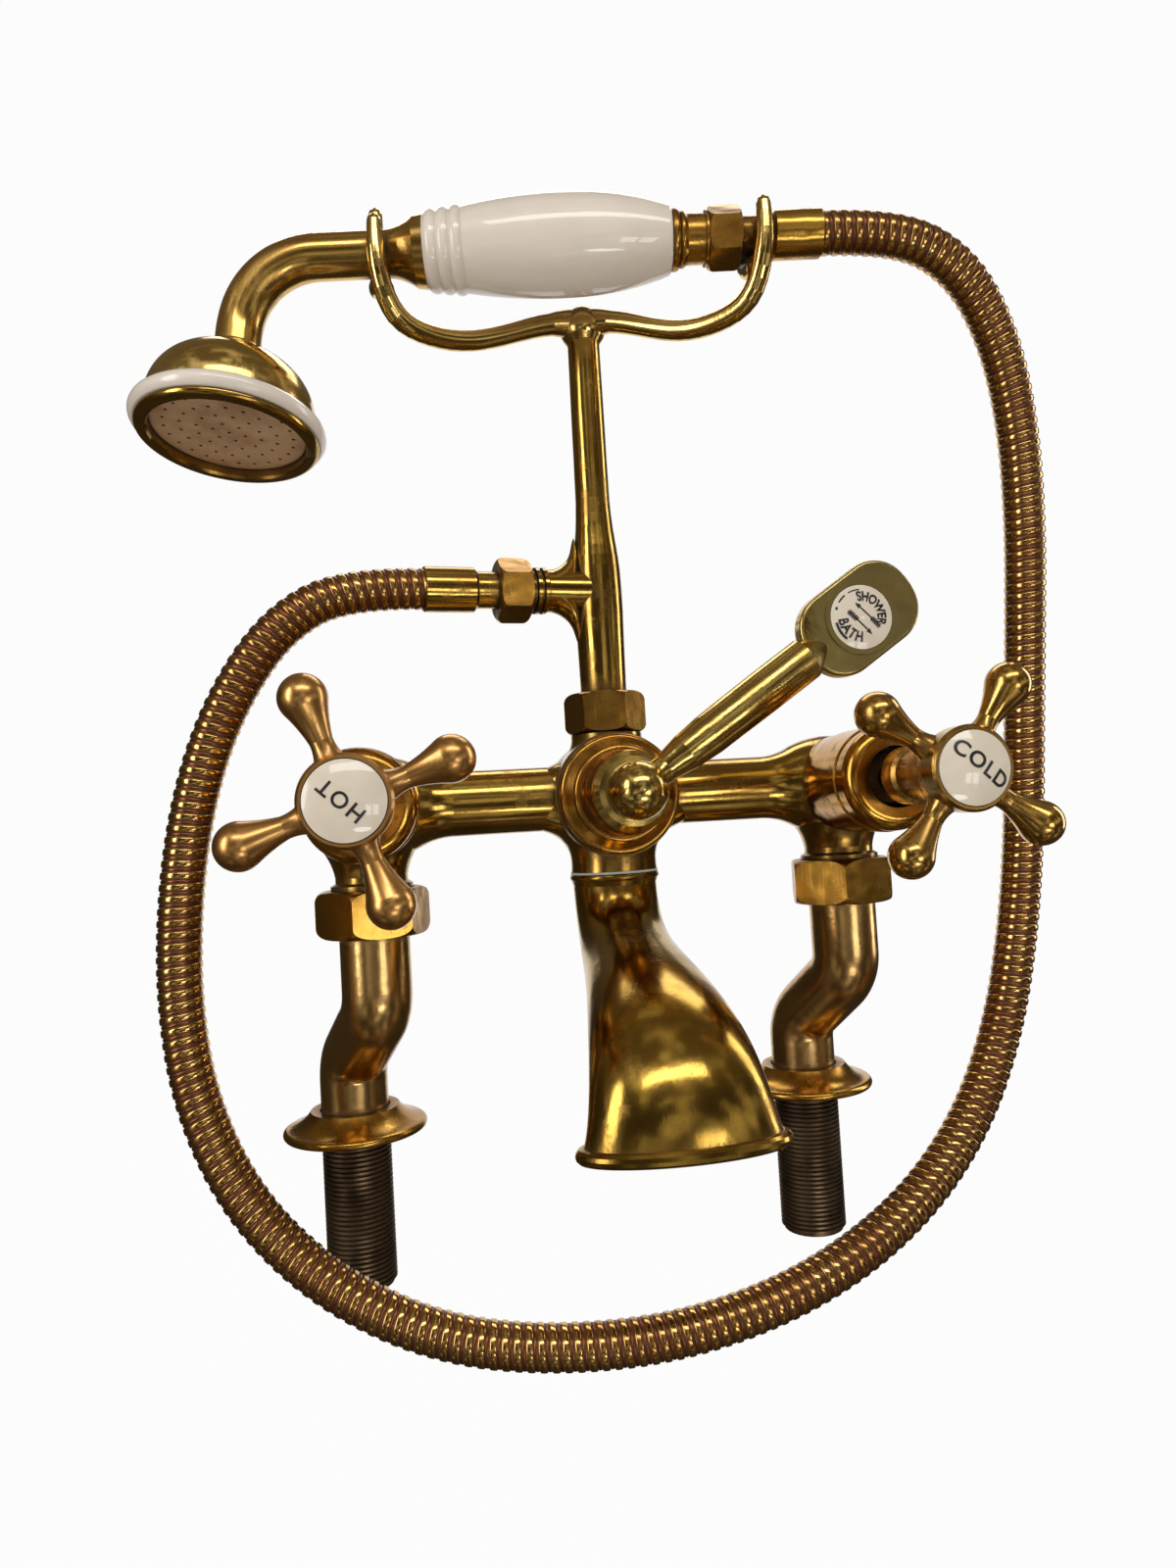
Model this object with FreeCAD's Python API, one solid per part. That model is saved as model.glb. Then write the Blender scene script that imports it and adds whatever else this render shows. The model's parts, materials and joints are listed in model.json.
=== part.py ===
import FreeCAD, Part
import math
import os

# Pillar-mounted bath mixer with a handset, its cradle and its ribbed hose. Millimetres.
# Everything is shaped about the riser column's axis, with the deck at z = 0, the front at -Y
# and hot on the left, and it is moved at the end so that the origin lies midway between the
# two deck tails. "Forward" below always means towards -Y.

# Clearances and fits
SEAT_GAP = 0.15
RUN_GAP = 0.3
JOIN_GAP = 0.05
FORK_GAP = 0.45

# How many rings a curved bar has between two of its points
BAR_STEPS = 4
# How many bands the spout's rolled rim has
RIM_STEPS = 6

# Deck tails and cranked unions
INLET_SPACING = 185.0
TAIL_R = 13.22
TAIL_LENGTH = 59.0
THREAD_PITCH = 1.814
THREAD_DEPTH = 1.16
THREAD_CREST = 0.7
WATERWAY_R = 8.0
CRANK_R = 13.0
CRANK_OFFSET = 26.5
CRANK_SWING = 27.0
CRANK_BEND_R = 16.0
CRANK_TURN = 50.0
CRANK_START = 20.0
FLANGE_R = 27.0
FLANGE_HEIGHT = 9.0
FLANGE_EDGE = 3.0

# Union nuts under the valve bodies
UNION_NUT_BOTTOM = 77.5
UNION_NUT_HEIGHT = 17.5
UNION_NUT_FLATS = 37.0
UNION_NUT_LIP = 3.5
UNION_NUT_TURN = 73.0
UNION_THREAD_R = 15.2
UNION_COLLAR = 4.0
UNION_WASHER = 2.0

# Mixer body
AXIS_Z = 125.0
CROSSBAR_R = 12.4
CROSSBAR_WATERWAY_R = 7.0
BARREL_R = 19.0
BARREL_FRONT = 22.0
VALVE_CORE_R = 19.5
SPIGOT_WAIST_R = 13.4
CENTRE_R = 23.5
CENTRE_FRONT = 17.0
CENTRE_BACK = 17.0
SPOUT_SEAM_Z = 96.0
SPOUT_NECK_R = 16.75
SPOUT_JOINT_LAND = 5.0
BODY_BORE_R = 10.0
RISER_NECK_R = 13.5

# Valve inside a barrel
CHAMBER_R = 12.0
REAR_CHAMBER_R = 10.0
REAR_CHAMBER_BACK = 8.0
SEAT_R = 6.0
SEAT_FORWARD = 5.0
JUMPER_R = 8.0
JUMPER_THICK = 3.0
JUMPER_WASHER_THICK = 2.5
JUMPER_STEM_R = 3.6
JUMPER_STEM = 13.0
VALVE_LIFT_PER_TURN = 2.5
VALVE_TURNS = 2.0
SPINDLE_R = 5.0
SPINDLE_SOCKET_R = 4.0
HEADWORK_THREAD_R = 14.0
HEADWORK_THREAD = 9.0
HEADWORK_R = 19.5
HEADWORK_LENGTH = 35.0
HEADWORK_EDGE = 5.0
HEADWORK_MOUTH_R = 11.0
HEADWORK_MOUTH_DEPTH = 10.0
GLAND_R = 8.5
GLAND_LENGTH = 12.0

# Cross handles
HANDLE_SKIRT_R = 10.0
HANDLE_SKIRT_START = 64.0
HANDLE_HUB_R = 13.4
HANDLE_FRONT = 107.5
HANDLE_ARM_FORWARD = 99.0
HANDLE_KNOB_R = 7.1
HANDLE_KNOB_AT = 31.5
HANDLE_ARM_R = 3.4
HOT_HANDLE_TURN = 20.0
COLD_HANDLE_TURN = 55.0
INDEX_R = 11.5
INDEX_SEAT_DEPTH = 2.5
INDEX_EDGE = 1.6
INDEX_DOME = 2.6
SCREW_HEAD_R = 3.6
SCREW_HEAD = 2.6
SCREW_R = 2.0
SCREW_LENGTH = 11.0

# Diverter
SHUTTLE_TRAVEL = 8.0
SHUTTLE_R = 7.5
SHUTTLE_HALF = 6.0
SHUTTLE_DISC = 2.5
SHUTTLE_WASHER = 2.0
SHUTTLE_SEAT_R = 5.5
PIN_R = 1.5
PIN_THROW = 5.2
PIN_LENGTH = 7.0
LEVER_SWEEP = 100.0
LEVER_ANGLE = 34.2
BONNET_R = 22.5
BONNET_THREAD_R = 17.0
BONNET_THREAD = 8.0
BONNET_FRONT = 40.0
DIVERTER_SPINDLE_R = 5.0
DIVERTER_SPINDLE_HEAD_R = 8.0
LEVER_RING_R = 14.2
LEVER_RING_FRONT = 49.0
LEVER_DOME_R = 10.2
LEVER_TIP = 66.0
LEVER_PLANE = 52.0
LEVER_ARM_R = 5.0
LEVER_ARM_SWELL_R = 7.5
LEVER_NECK_R = 7.8
PADDLE_AT = 101.0
PADDLE_LENGTH = 46.5
PADDLE_WIDTH = 31.0
PADDLE_THICK = 6.5
PADDLE_CORNER_R = 13.4
PADDLE_END_R = 23.0
PADDLE_INDEX_R = 11.4
PADDLE_INDEX_SEAT = 2.2

# Spout
SPOUT_WALL = 2.6
SPOUT_SEAL = 0.8
SPOUT_RIM_R = 2.3

# Riser column and its outlet
RISER_NUT_BOTTOM = 149.5
RISER_NUT_HEIGHT = 15.5
RISER_NUT_FLATS = 27.5
RISER_NUT_TURN = -10.0
RISER_THREAD_R = 11.6
RISER_R = 9.4
RISER_WAIST_R = 6.8
RISER_TOP_R = 6.3
RISER_BORE_R = 5.5
RISER_COLLAR = 3.0
RISER_WASHER = 1.5
RISER_SEAM_Z = 305.0
OUTLET_Z = 205.5
OUTLET_TURN = 9.0
OUTLET_R = 8.2
OUTLET_COVE = 11.0
OUTLET_STUB_R = 8.3
OUTLET_STUB_START = 22.0
OUTLET_STUB_END = 36.0
OUTLET_NUT_START = 28.5
OUTLET_NUT_LENGTH = 12.5
OUTLET_NUT_FLATS = 21.5
OUTLET_NUT_LIP = 2.5
OUTLET_NUT_TURN = 0.0
OUTLET_FERRULE_START = 49.0
OUTLET_FERRULE_END = 69.0

# Cradle
CRADLE_BOSS_R = 10.0
CRADLE_BOSS_TOP = 320.0
CRADLE_PIN_R = 4.0
CRADLE_PIN = 9.0
CRADLE_ARM_Z = 312.6
CRADLE_ARM_R = 3.8
CRADLE_ARM_DIP = 12.6
CRADLE_PRONG_R = 3.1
CRADLE_TIP_R = 2.6
# A prong's round end, as shares of its radius: how far past the end, and how thick
TIP_RINGS = [(0.5, 0.87), (0.8, 0.6), (0.97, 0.25)]
PRONG_REACH = 12.6
PRONG_FRONT = 5.0
PRONG_REAR_LEFT = 22.5
PRONG_REAR_RIGHT = 8.0

# Handset
HANDSET_Z = 328.5
HANDSET_FORWARD = 30.0
HANDSET_TURN = 8.0
FORK_LEFT = -79.6
FORK_RIGHT = 60.0
GRIP_LEFT = -61.4
GRIP_RIGHT = 29.0
GRIP_R = 17.5
GRIP_LEFT_R = 13.0
GRIP_RIGHT_R = 11.3
GRIP_RIB = 4.6
GRIP_RIBS = 3
GRIP_BORE_R = 7.0
GRIP_TUBE_WALL = 1.2
NECK_R = 8.15
NECK_WALL = 1.5
NECK_FLARE_START = -75.0
NECK_FLARE_R = 12.6
NECK_BEND_START = -101.0
NECK_BEND_R = 30.0
NECK_BEND_TURN = 72.0
NECK_TAIL = 6.0
ROSE_LEAN_OUT = 6.0
ROSE_LEAN_FORWARD = 8.0
ROSE_R = 33.8
ROSE_RING_R = 3.0
BELL_R = 29.5
BELL_LENGTH = 26.0
BELL_WALL = 1.6
ROSE_DEPTH = 35.0
ROSE_PLATE_R = 27.0
ROSE_PLATE_THICK = 1.2
ROSE_PLATE_RECESS = 4.0
ROSE_HOLE_R = 0.65
ROSE_HOLE_RINGS = 4
ROSE_HOLE_STEP = 5.6
CONNECTOR_R = 8.6
CONNECTOR_BEAD_R = 10.2
CONNECTOR_NUT_START = 42.7
HANDSET_NUT_LENGTH = 12.0
HANDSET_NUT_FLATS = 19.6
HANDSET_NUT_LIP = 2.5
HANDSET_NUT_TURN = 8.0
HANDSET_THREAD_R = 8.3
HANDSET_FERRULE_START = 66.4
HANDSET_FERRULE_END = 85.0

# Hose
HOSE_R = 7.75
HOSE_ROOT_R = 6.9
HOSE_BORE_R = 5.0
HOSE_RIBS = 200
HOSE_LEAD = 28.7
FERRULE_R = 8.5
HOSE_NECK_R = 7.0
HOSE_NECK_BORE_R = 4.0
HOSE_WASHER = 1.5
HOSE_COLLAR = 2.0

# The hose's free route, from the outlet's ferrule round the back of the hot handle, down in
# front of the left tail and up behind the cold handle to the handset's ferrule.
HOSE_ROUTE = [
    (-120.5, -15.5, 192.5),
    (-138.5, -15.0, 167.0),
    (-150.5, -15.0, 137.0),
    (-157.5, -15.0, 101.0),
    (-159.5, -15.5, 62.0),
    (-154.5, -18.0, 25.0),
    (-139.0, -22.5, -9.5),
    (-112.0, -28.0, -37.5),
    (-76.0, -35.0, -56.0),
    (-36.0, -41.0, -62.5),
    (9.0, -45.0, -61.5),
    (55.0, -43.5, -51.5),
    (95.0, -36.5, -33.5),
    (125.5, -28.0, -8.0),
    (146.0, -21.5, 26.0),
    (157.0, -19.0, 64.5),
    (162.5, -19.0, 103.0),
    (165.0, -20.5, 144.0),
    (166.5, -24.0, 184.0),
    (166.5, -29.0, 222.0),
    (163.0, -34.5, 259.0),
    (154.5, -39.5, 291.5),
    (138.0, -44.5, 316.0),
]

V = FreeCAD.Vector
UP = V(0, 0, 1)
DOWN = V(0, 0, -1)
FORWARD = V(0, -1, 0)
RIGHT = V(1, 0, 0)


def turned(profile, base=V(0, 0, 0), axis=UP):
    """A solid of revolution. The profile is a list of (radius, height) corners, and a corner
    with four numbers is reached by an arc through its first two."""
    points = [V(corner[-2], 0, corner[-1]) for corner in profile]
    edges = []
    for before, corner, after in zip(points, profile[1:], points[1:]):
        if len(corner) == 4:
            edges.append(Part.Arc(before, V(corner[0], 0, corner[1]), after).toShape())
        else:
            edges.append(Part.LineSegment(before, after).toShape())
    edges.append(Part.LineSegment(points[-1], points[0]).toShape())
    shape = Part.Face(Part.Wire(edges)).revolve(V(0, 0, 0), UP, 360)
    return placed(shape, base, axis)


def cap(radius, start, top):
    """The round end of a turned profile: an arc from a radius to the axis, true to a sphere."""
    drop = top - start
    sphere = (radius ** 2 + drop ** 2) / (2 * drop)
    half = math.atan2(radius, start - top + sphere) / 2
    return sphere * math.sin(half), top - sphere + sphere * math.cos(half), 0, top


def placed(shape, base, axis):
    """Turn a shape made about +Z so that it points along an axis from a base point."""
    shape.Placement = FreeCAD.Placement(base, FreeCAD.Rotation(UP, axis)).multiply(shape.Placement)
    return shape


def rod(radius, start, end):
    """A cylinder from one point to another."""
    return Part.makeCylinder(radius, (end - start).Length, start, end - start)


def ring(outer, inner, height, base, axis):
    """A flat ring, such as a washer."""
    return turned([(inner, 0), (outer, 0), (outer, height), (inner, height)], base, axis)


def hexagon(flats, height, base, axis, turn=0.0):
    """A hexagon nut's outer form with its corners turned off at both ends."""
    corner = flats / math.sqrt(3)
    points = [V(corner * math.cos(math.radians(60 * i + turn)),
                corner * math.sin(math.radians(60 * i + turn)), 0) for i in range(7)]
    prism = Part.Face(Part.makePolygon(points)).extrude(V(0, 0, height))
    soft = flats * 0.075
    round_form = turned([(0, 0), (corner - 2 * soft, 0), (corner - 0.6 * soft, 0.3 * soft, corner, 1.4 * soft),
                         (corner, height - 1.4 * soft),
                         (corner - 0.6 * soft, height - 0.3 * soft, corner - 2 * soft, height), (0, height)])
    return placed(prism.common(round_form), base, axis)


def ball(radius, centre):
    return Part.makeSphere(radius, centre)


def fused(first, *others):
    return first.fuse(list(others)).removeSplitter() if others else first


def sweep(path, radius, start, direction):
    """A round bar along a path."""
    circle = Part.Wire(Part.Circle(start, direction, radius).toShape())
    return Part.Wire(path).makePipeShell([circle], True, True)


def tapered(points, radii):
    """A round bar that follows a smooth curve through points, with a radius at each."""
    curve = Part.BSplineCurve()
    curve.interpolate(points)
    knots = [curve.parameter(point) for point in points]
    rings = []
    for low, high, first, last in zip(knots, knots[1:], radii, radii[1:]):
        for step in range(BAR_STEPS):
            share = step / BAR_STEPS
            u = low + (high - low) * share
            rings.append((u, first + (last - first) * share))
    rings.append((knots[-1], radii[-1]))
    circles = [Part.Circle(curve.value(u), curve.tangent(u)[0], radius) for u, radius in rings]
    return Part.makeLoft([Part.Wire(circle.toShape()) for circle in circles], True, True)


def thread_rings(radius, length, bore, base, axis):
    """A threaded bar with a bore. Each turn of its thread is a ring with a flat crest."""
    turns = int(length / THREAD_PITCH)
    root = radius - THREAD_DEPTH
    slope = (THREAD_PITCH - 2 * THREAD_CREST) / 2
    profile = [(bore, 0), (root, 0)]
    for i in range(turns):
        low = i * THREAD_PITCH + slope / 2
        profile += [(root, low), (radius, low + slope), (radius, low + slope + THREAD_CREST)]
        profile += [(root, low + 2 * slope + THREAD_CREST)]
    profile += [(root, length), (bore, length)]
    clean = [profile[0]]
    for corner in profile[1:]:
        if corner != clean[-1]:
            clean.append(corner)
    return turned(clean, base, axis)


parts = {}


def keep(name, shape):
    """Check a finished piece and hold it under its name."""
    if not shape.isValid():
        print("invalid", name)
    parts[name] = shape


def valve_x(side):
    return side * INLET_SPACING / 2


CRANK_X = -CRANK_OFFSET * math.sin(math.radians(CRANK_SWING))
CRANK_Y = CRANK_OFFSET * math.cos(math.radians(CRANK_SWING))


def tail_axis(side):
    return V(valve_x(side) + CRANK_X, CRANK_Y, 0)


UNION_SEAT = UNION_NUT_BOTTOM + UNION_NUT_LIP + UNION_COLLAR
SPIGOT_END = UNION_SEAT + UNION_WASHER
RISER_SEAT = RISER_NUT_BOTTOM + RISER_NUT_HEIGHT - 4.0 - RISER_COLLAR
RISER_NECK_TOP = RISER_SEAT - RISER_WASHER


def crank_path(side):
    """The cranked union's centreline, from its tail up to its seat."""
    turn = math.radians(CRANK_TURN)
    back = tail_axis(side)
    across = V(-CRANK_X, -CRANK_Y, 0).normalize()
    slant = (CRANK_OFFSET - 2 * CRANK_BEND_R * (1 - math.cos(turn))) / math.sin(turn)

    def at(reach, rise):
        return back + across * reach + UP * rise

    def on_arc(angle):
        return CRANK_BEND_R * (1 - math.cos(angle)), CRANK_BEND_R * math.sin(angle)

    half = on_arc(turn / 2)
    full = on_arc(turn)
    top_reach = full[0] + slant * math.sin(turn)
    top_rise = CRANK_START + full[1] + slant * math.cos(turn)
    points = [at(0, 0), at(0, CRANK_START), at(half[0], CRANK_START + half[1]),
              at(full[0], CRANK_START + full[1]), at(top_reach, top_rise),
              at(CRANK_OFFSET - half[0], top_rise + full[1] - half[1]),
              at(CRANK_OFFSET, top_rise + full[1]), at(CRANK_OFFSET, UNION_SEAT)]
    return [Part.LineSegment(points[0], points[1]).toShape(),
            Part.Arc(points[1], points[2], points[3]).toShape(),
            Part.LineSegment(points[3], points[4]).toShape(),
            Part.Arc(points[4], points[5], points[6]).toShape(),
            Part.LineSegment(points[6], points[7]).toShape()], points


def cranked_union(side):
    """A bent tube with a threaded tail below the deck and a captured collar at its top."""
    path, points = crank_path(side)
    tube = sweep(path, CRANK_R, points[0], UP)
    collar = rod(UNION_THREAD_R - RUN_GAP, points[-1] - UP * UNION_COLLAR, points[-1])
    tail = thread_rings(TAIL_R, TAIL_LENGTH, 0, points[0], DOWN)
    bore = sweep(path, WATERWAY_R, points[0], UP)
    tail_bore = rod(WATERWAY_R, points[0] - UP * TAIL_LENGTH, points[0])
    return fused(tube, collar, tail).cut(bore).cut(tail_bore)


def flange(side):
    """The domed cover plate that hides the hole in the deck."""
    inner = TAIL_R + RUN_GAP
    profile = [(inner, 0), (FLANGE_R, 0), (FLANGE_R + 0.6, FLANGE_EDGE / 2, FLANGE_R - 0.8, FLANGE_EDGE),
               (FLANGE_R * 0.8, FLANGE_EDGE + 1.6, CRANK_R + 4, FLANGE_HEIGHT),
               (inner, FLANGE_HEIGHT)]
    return turned(profile, tail_axis(side))


def union_nut(side):
    """The hexagon nut that pulls the union's collar up to the valve body."""
    base = V(valve_x(side), 0, UNION_NUT_BOTTOM)
    body = hexagon(UNION_NUT_FLATS, UNION_NUT_HEIGHT, base, UP, UNION_NUT_TURN)
    hole = rod(CRANK_R + SEAT_GAP, base - UP, base + UP * UNION_NUT_HEIGHT)
    room = rod(UNION_THREAD_R + JOIN_GAP, base + UP * UNION_NUT_LIP, base + UP * (UNION_NUT_HEIGHT + 1))
    return body.cut(hole).cut(room)


def union_washer(side):
    base = V(valve_x(side), 0, UNION_SEAT)
    return ring(UNION_THREAD_R - RUN_GAP, WATERWAY_R, UNION_WASHER, base, UP)


def valve_outer(side):
    """Outside of one valve body: a barrel, its downward neck and the threaded spigot."""
    x = valve_x(side)
    middle = V(x, 0, AXIS_Z)
    barrel = rod(BARREL_R, middle, middle + FORWARD * BARREL_FRONT)
    nut_top = UNION_NUT_BOTTOM + UNION_NUT_HEIGHT
    neck_top = AXIS_Z - nut_top
    waist = SPIGOT_WAIST_R
    neck = turned([(0, 0), (UNION_THREAD_R, 0), (UNION_THREAD_R, 1.6), (waist, 2.6), (waist, 4.6),
                   (waist + 1.0, 8.6, BARREL_R - 1.2, neck_top - 15), (BARREL_R - 1.2, neck_top), (0, neck_top)],
                  V(x, 0, nut_top + JOIN_GAP), UP)
    thread = rod(UNION_THREAD_R, V(x, 0, SPIGOT_END), V(x, 0, nut_top + 1))
    return [barrel, neck, thread]


def crossbar():
    """The bar from the middle to each valve, which swells there into a round-backed core."""
    reach = INLET_SPACING / 2
    r, core = CROSSBAR_R, VALVE_CORE_R
    swell = core - r
    profile = [(0, 0), (r, 0), (r, reach - core - 12), (r + swell * 0.12, reach - core - 5.5, r + swell * 0.42, reach - core),
               (r + swell * 0.88, reach - core * 0.55, core, reach - 1), cap(core, reach - 1, reach + core)]
    return [turned(profile, V(0, 0, AXIS_Z), RIGHT * side) for side in (-1, 1)]


def valve_hollow(side):
    """The chambers, seat and passages of one valve body."""
    x = valve_x(side)
    middle = V(x, 0, AXIS_Z)
    front = rod(CHAMBER_R, middle + FORWARD * (SEAT_FORWARD), middle + FORWARD * (BARREL_FRONT + 1))
    joint = rod(HEADWORK_THREAD_R, middle + FORWARD * (BARREL_FRONT - HEADWORK_THREAD),
                middle + FORWARD * (BARREL_FRONT + 1))
    back_centre = middle - FORWARD * REAR_CHAMBER_BACK
    rear = ball(REAR_CHAMBER_R, back_centre)
    seat = rod(SEAT_R, back_centre, middle + FORWARD * (SEAT_FORWARD + 1))
    inlet = rod(WATERWAY_R - 1, V(x, 4, SPIGOT_END - 1), V(x, 4, AXIS_Z))
    turn_in = V(x - side * (CHAMBER_R + 12), 0, AXIS_Z)
    entry = V(x - side * (CHAMBER_R - 2), -(SEAT_FORWARD + 6.5), AXIS_Z)
    slant = rod(CROSSBAR_WATERWAY_R - 2, turn_in, entry)
    run = rod(CROSSBAR_WATERWAY_R, V(0, 0, AXIS_Z), turn_in + RIGHT * side * 2)
    return [front, joint, rear, seat, inlet, slant, run]


def centre_slices(below):
    """Half widths of the body's middle at heights above its axis, or below it, as coves that
    run from the crossbar into the neck."""
    r = CROSSBAR_R
    neck = SPOUT_NECK_R if below else RISER_NECK_R
    end = AXIS_Z - SPOUT_SEAM_Z if below else RISER_NUT_BOTTOM - AXIS_Z - 0.6
    slices = [(0, neck + 16), (r * 0.75, neck + 15), (r * 0.97, neck + 11), (r + 1.6, neck + 6.5), (r + 4.2, neck + 3),
              (r + 7.6, neck + 0.8), (end, neck)]
    return [(height, wide, max(neck, SPOUT_NECK_R - height * 0.12)) for height, wide in slices]


def oval(height, wide, deep):
    """A level ellipse about the riser's axis, wider than it is deep or nearly round."""
    centre = V(0, 0, height)
    if wide <= deep + 0.01:
        return Part.Wire(Part.Circle(centre, UP, deep).toShape())
    return Part.Wire(Part.Ellipse(centre + RIGHT * wide, centre - FORWARD * deep, centre).toShape())


def centre_outer():
    """The middle of the body: a round chamber with necks to the riser and the spout."""
    middle = V(0, 0, AXIS_Z)
    drum = turned([(0, -CENTRE_BACK), (CENTRE_R - 6, -CENTRE_BACK),
                   (CENTRE_R - 1.4, -CENTRE_BACK + 1.6, CENTRE_R, -CENTRE_BACK + 6),
                   (CENTRE_R, CENTRE_FRONT), (0, CENTRE_FRONT)], middle, FORWARD)
    lower = Part.makeLoft([oval(AXIS_Z - height, wide, deep) for height, wide, deep in centre_slices(True)], True)
    upper = Part.makeLoft([oval(AXIS_Z + height, wide, deep) for height, wide, deep in centre_slices(False)], True)
    thread = rod(RISER_THREAD_R, middle, V(0, 0, RISER_NECK_TOP))
    return [drum, lower, upper, thread]


def centre_hollow():
    """The diverter's chamber between its upper and lower seats, and both waterways."""
    middle = V(0, 0, AXIS_Z)
    seat = seat_height()
    room = rod(BODY_BORE_R, middle - UP * seat, middle + UP * seat)
    riser_way = rod(SHUTTLE_SEAT_R, middle, V(0, 0, RISER_NECK_TOP + 1))
    spout_way = rod(SHUTTLE_SEAT_R, V(0, 0, SPOUT_SEAM_Z - 1), middle)
    spout_room = rod(SPOUT_NECK_R - SPOUT_JOINT_LAND, V(0, 0, SPOUT_SEAM_Z - 1), V(0, 0, AXIS_Z - seat - 4))
    spindle_room = rod(DIVERTER_SPINDLE_HEAD_R + 1.5, middle, middle + FORWARD * (CENTRE_FRONT + 1))
    thread = rod(BONNET_THREAD_R, middle + FORWARD * (CENTRE_FRONT - BONNET_THREAD),
                 middle + FORWARD * (CENTRE_FRONT + 1))
    face = rod(CENTRE_R + 2, middle + FORWARD * CENTRE_FRONT, middle + FORWARD * (CENTRE_R + 1))
    return [room, riser_way, spout_way, spout_room, spindle_room, thread, face]


def seat_height():
    """Height of each diverter seat above and below the body's axis."""
    return SHUTTLE_HALF + SHUTTLE_DISC + SHUTTLE_WASHER + SHUTTLE_TRAVEL / 2 + RUN_GAP


def mixer_body():
    outer = centre_outer() + crossbar()
    hollow = centre_hollow()
    for side in (-1, 1):
        outer += valve_outer(side)
        hollow += valve_hollow(side)
    shape = fused(*outer)
    for cut in hollow:
        shape = shape.cut(cut)
    return shape


def headwork(side):
    """The valve's screwed-in cover with a turned front ring round the spindle."""
    base = V(valve_x(side), 0, AXIS_Z) + FORWARD * BARREL_FRONT
    r = HEADWORK_R
    length = HEADWORK_LENGTH
    edge = HEADWORK_EDGE
    inside = HEADWORK_THREAD_R - 2.4
    web = length - HEADWORK_MOUTH_DEPTH
    profile = [(SPINDLE_R + SEAT_GAP, 4), (inside, 4), (inside, -HEADWORK_THREAD),
               (HEADWORK_THREAD_R - JOIN_GAP, -HEADWORK_THREAD), (HEADWORK_THREAD_R - JOIN_GAP, 0),
               (BARREL_R - 0.4, 0), (r, 0.8), (r, length - edge - 6), (r - 0.5, length - edge - 5.4),
               (r - 0.5, length - edge), (r - 1.6, length - 1.6, r - edge - 0.5, length),
               (HEADWORK_MOUTH_R, length), (HEADWORK_MOUTH_R, web),
               (GLAND_R + JOIN_GAP, web), (GLAND_R + JOIN_GAP, web - GLAND_LENGTH * 0.6),
               (SPINDLE_R + SEAT_GAP, web - GLAND_LENGTH * 0.6)]
    return turned(profile, base, FORWARD)


def gland_nut(side):
    """The packing nut round the spindle, inside the headwork's mouth."""
    start = BARREL_FRONT + HEADWORK_LENGTH - HEADWORK_MOUTH_DEPTH - GLAND_LENGTH * 0.6
    base = V(valve_x(side), 0, AXIS_Z) + FORWARD * start
    threaded = ring(GLAND_R, SPINDLE_R + SEAT_GAP, GLAND_LENGTH * 0.6, base, FORWARD)
    head = hexagon(GLAND_R * 2 + 1, GLAND_LENGTH * 0.4, base + FORWARD * (GLAND_LENGTH * 0.6), FORWARD)
    hole = rod(SPINDLE_R + SEAT_GAP, base, base + FORWARD * GLAND_LENGTH)
    return fused(threaded, head).cut(hole)


def jumper_front():
    """Forward place of the closed jumper's front face."""
    return SEAT_FORWARD + JUMPER_WASHER_THICK + JUMPER_THICK


def spindle(side):
    """The turning spindle, with a threaded socket that drives the jumper's stem."""
    middle = V(valve_x(side), 0, AXIS_Z)
    travel = VALVE_LIFT_PER_TURN * VALVE_TURNS
    start = jumper_front() + travel + 1.0
    end = HANDLE_FRONT - INDEX_SEAT_DEPTH - SCREW_HEAD - RUN_GAP
    bar = rod(SPINDLE_R, middle + FORWARD * start, middle + FORWARD * end)
    shoulder = rod(SPINDLE_R + 3, middle + FORWARD * start, middle + FORWARD * (BARREL_FRONT + 4 - JOIN_GAP))
    stem_end = jumper_front() + JUMPER_STEM + travel + 1
    socket = rod(SPINDLE_SOCKET_R, middle + FORWARD * (start - 1), middle + FORWARD * stem_end)
    tapped = rod(SCREW_R + JOIN_GAP, middle + FORWARD * (end - SCREW_LENGTH - 1), middle + FORWARD * (end + 1))
    return fused(bar, shoulder).cut(socket).cut(tapped)


def jumper(side):
    """The sliding valve that the spindle draws off its seat."""
    middle = V(valve_x(side), 0, AXIS_Z)
    plate_back = middle + FORWARD * (SEAT_FORWARD + JUMPER_WASHER_THICK)
    plate = rod(JUMPER_R, plate_back, plate_back + FORWARD * JUMPER_THICK)
    stem = rod(JUMPER_STEM_R, plate_back, plate_back + FORWARD * (JUMPER_THICK + JUMPER_STEM))
    nose = rod(2.0, plate_back - FORWARD * (JUMPER_WASHER_THICK + 1), plate_back)
    return fused(plate, stem, nose)


def jumper_washer(side):
    base = V(valve_x(side), 0, AXIS_Z) + FORWARD * (SEAT_FORWARD + JOIN_GAP)
    return ring(JUMPER_R, 2.0 + JOIN_GAP, JUMPER_WASHER_THICK - JOIN_GAP, base, FORWARD)


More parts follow.
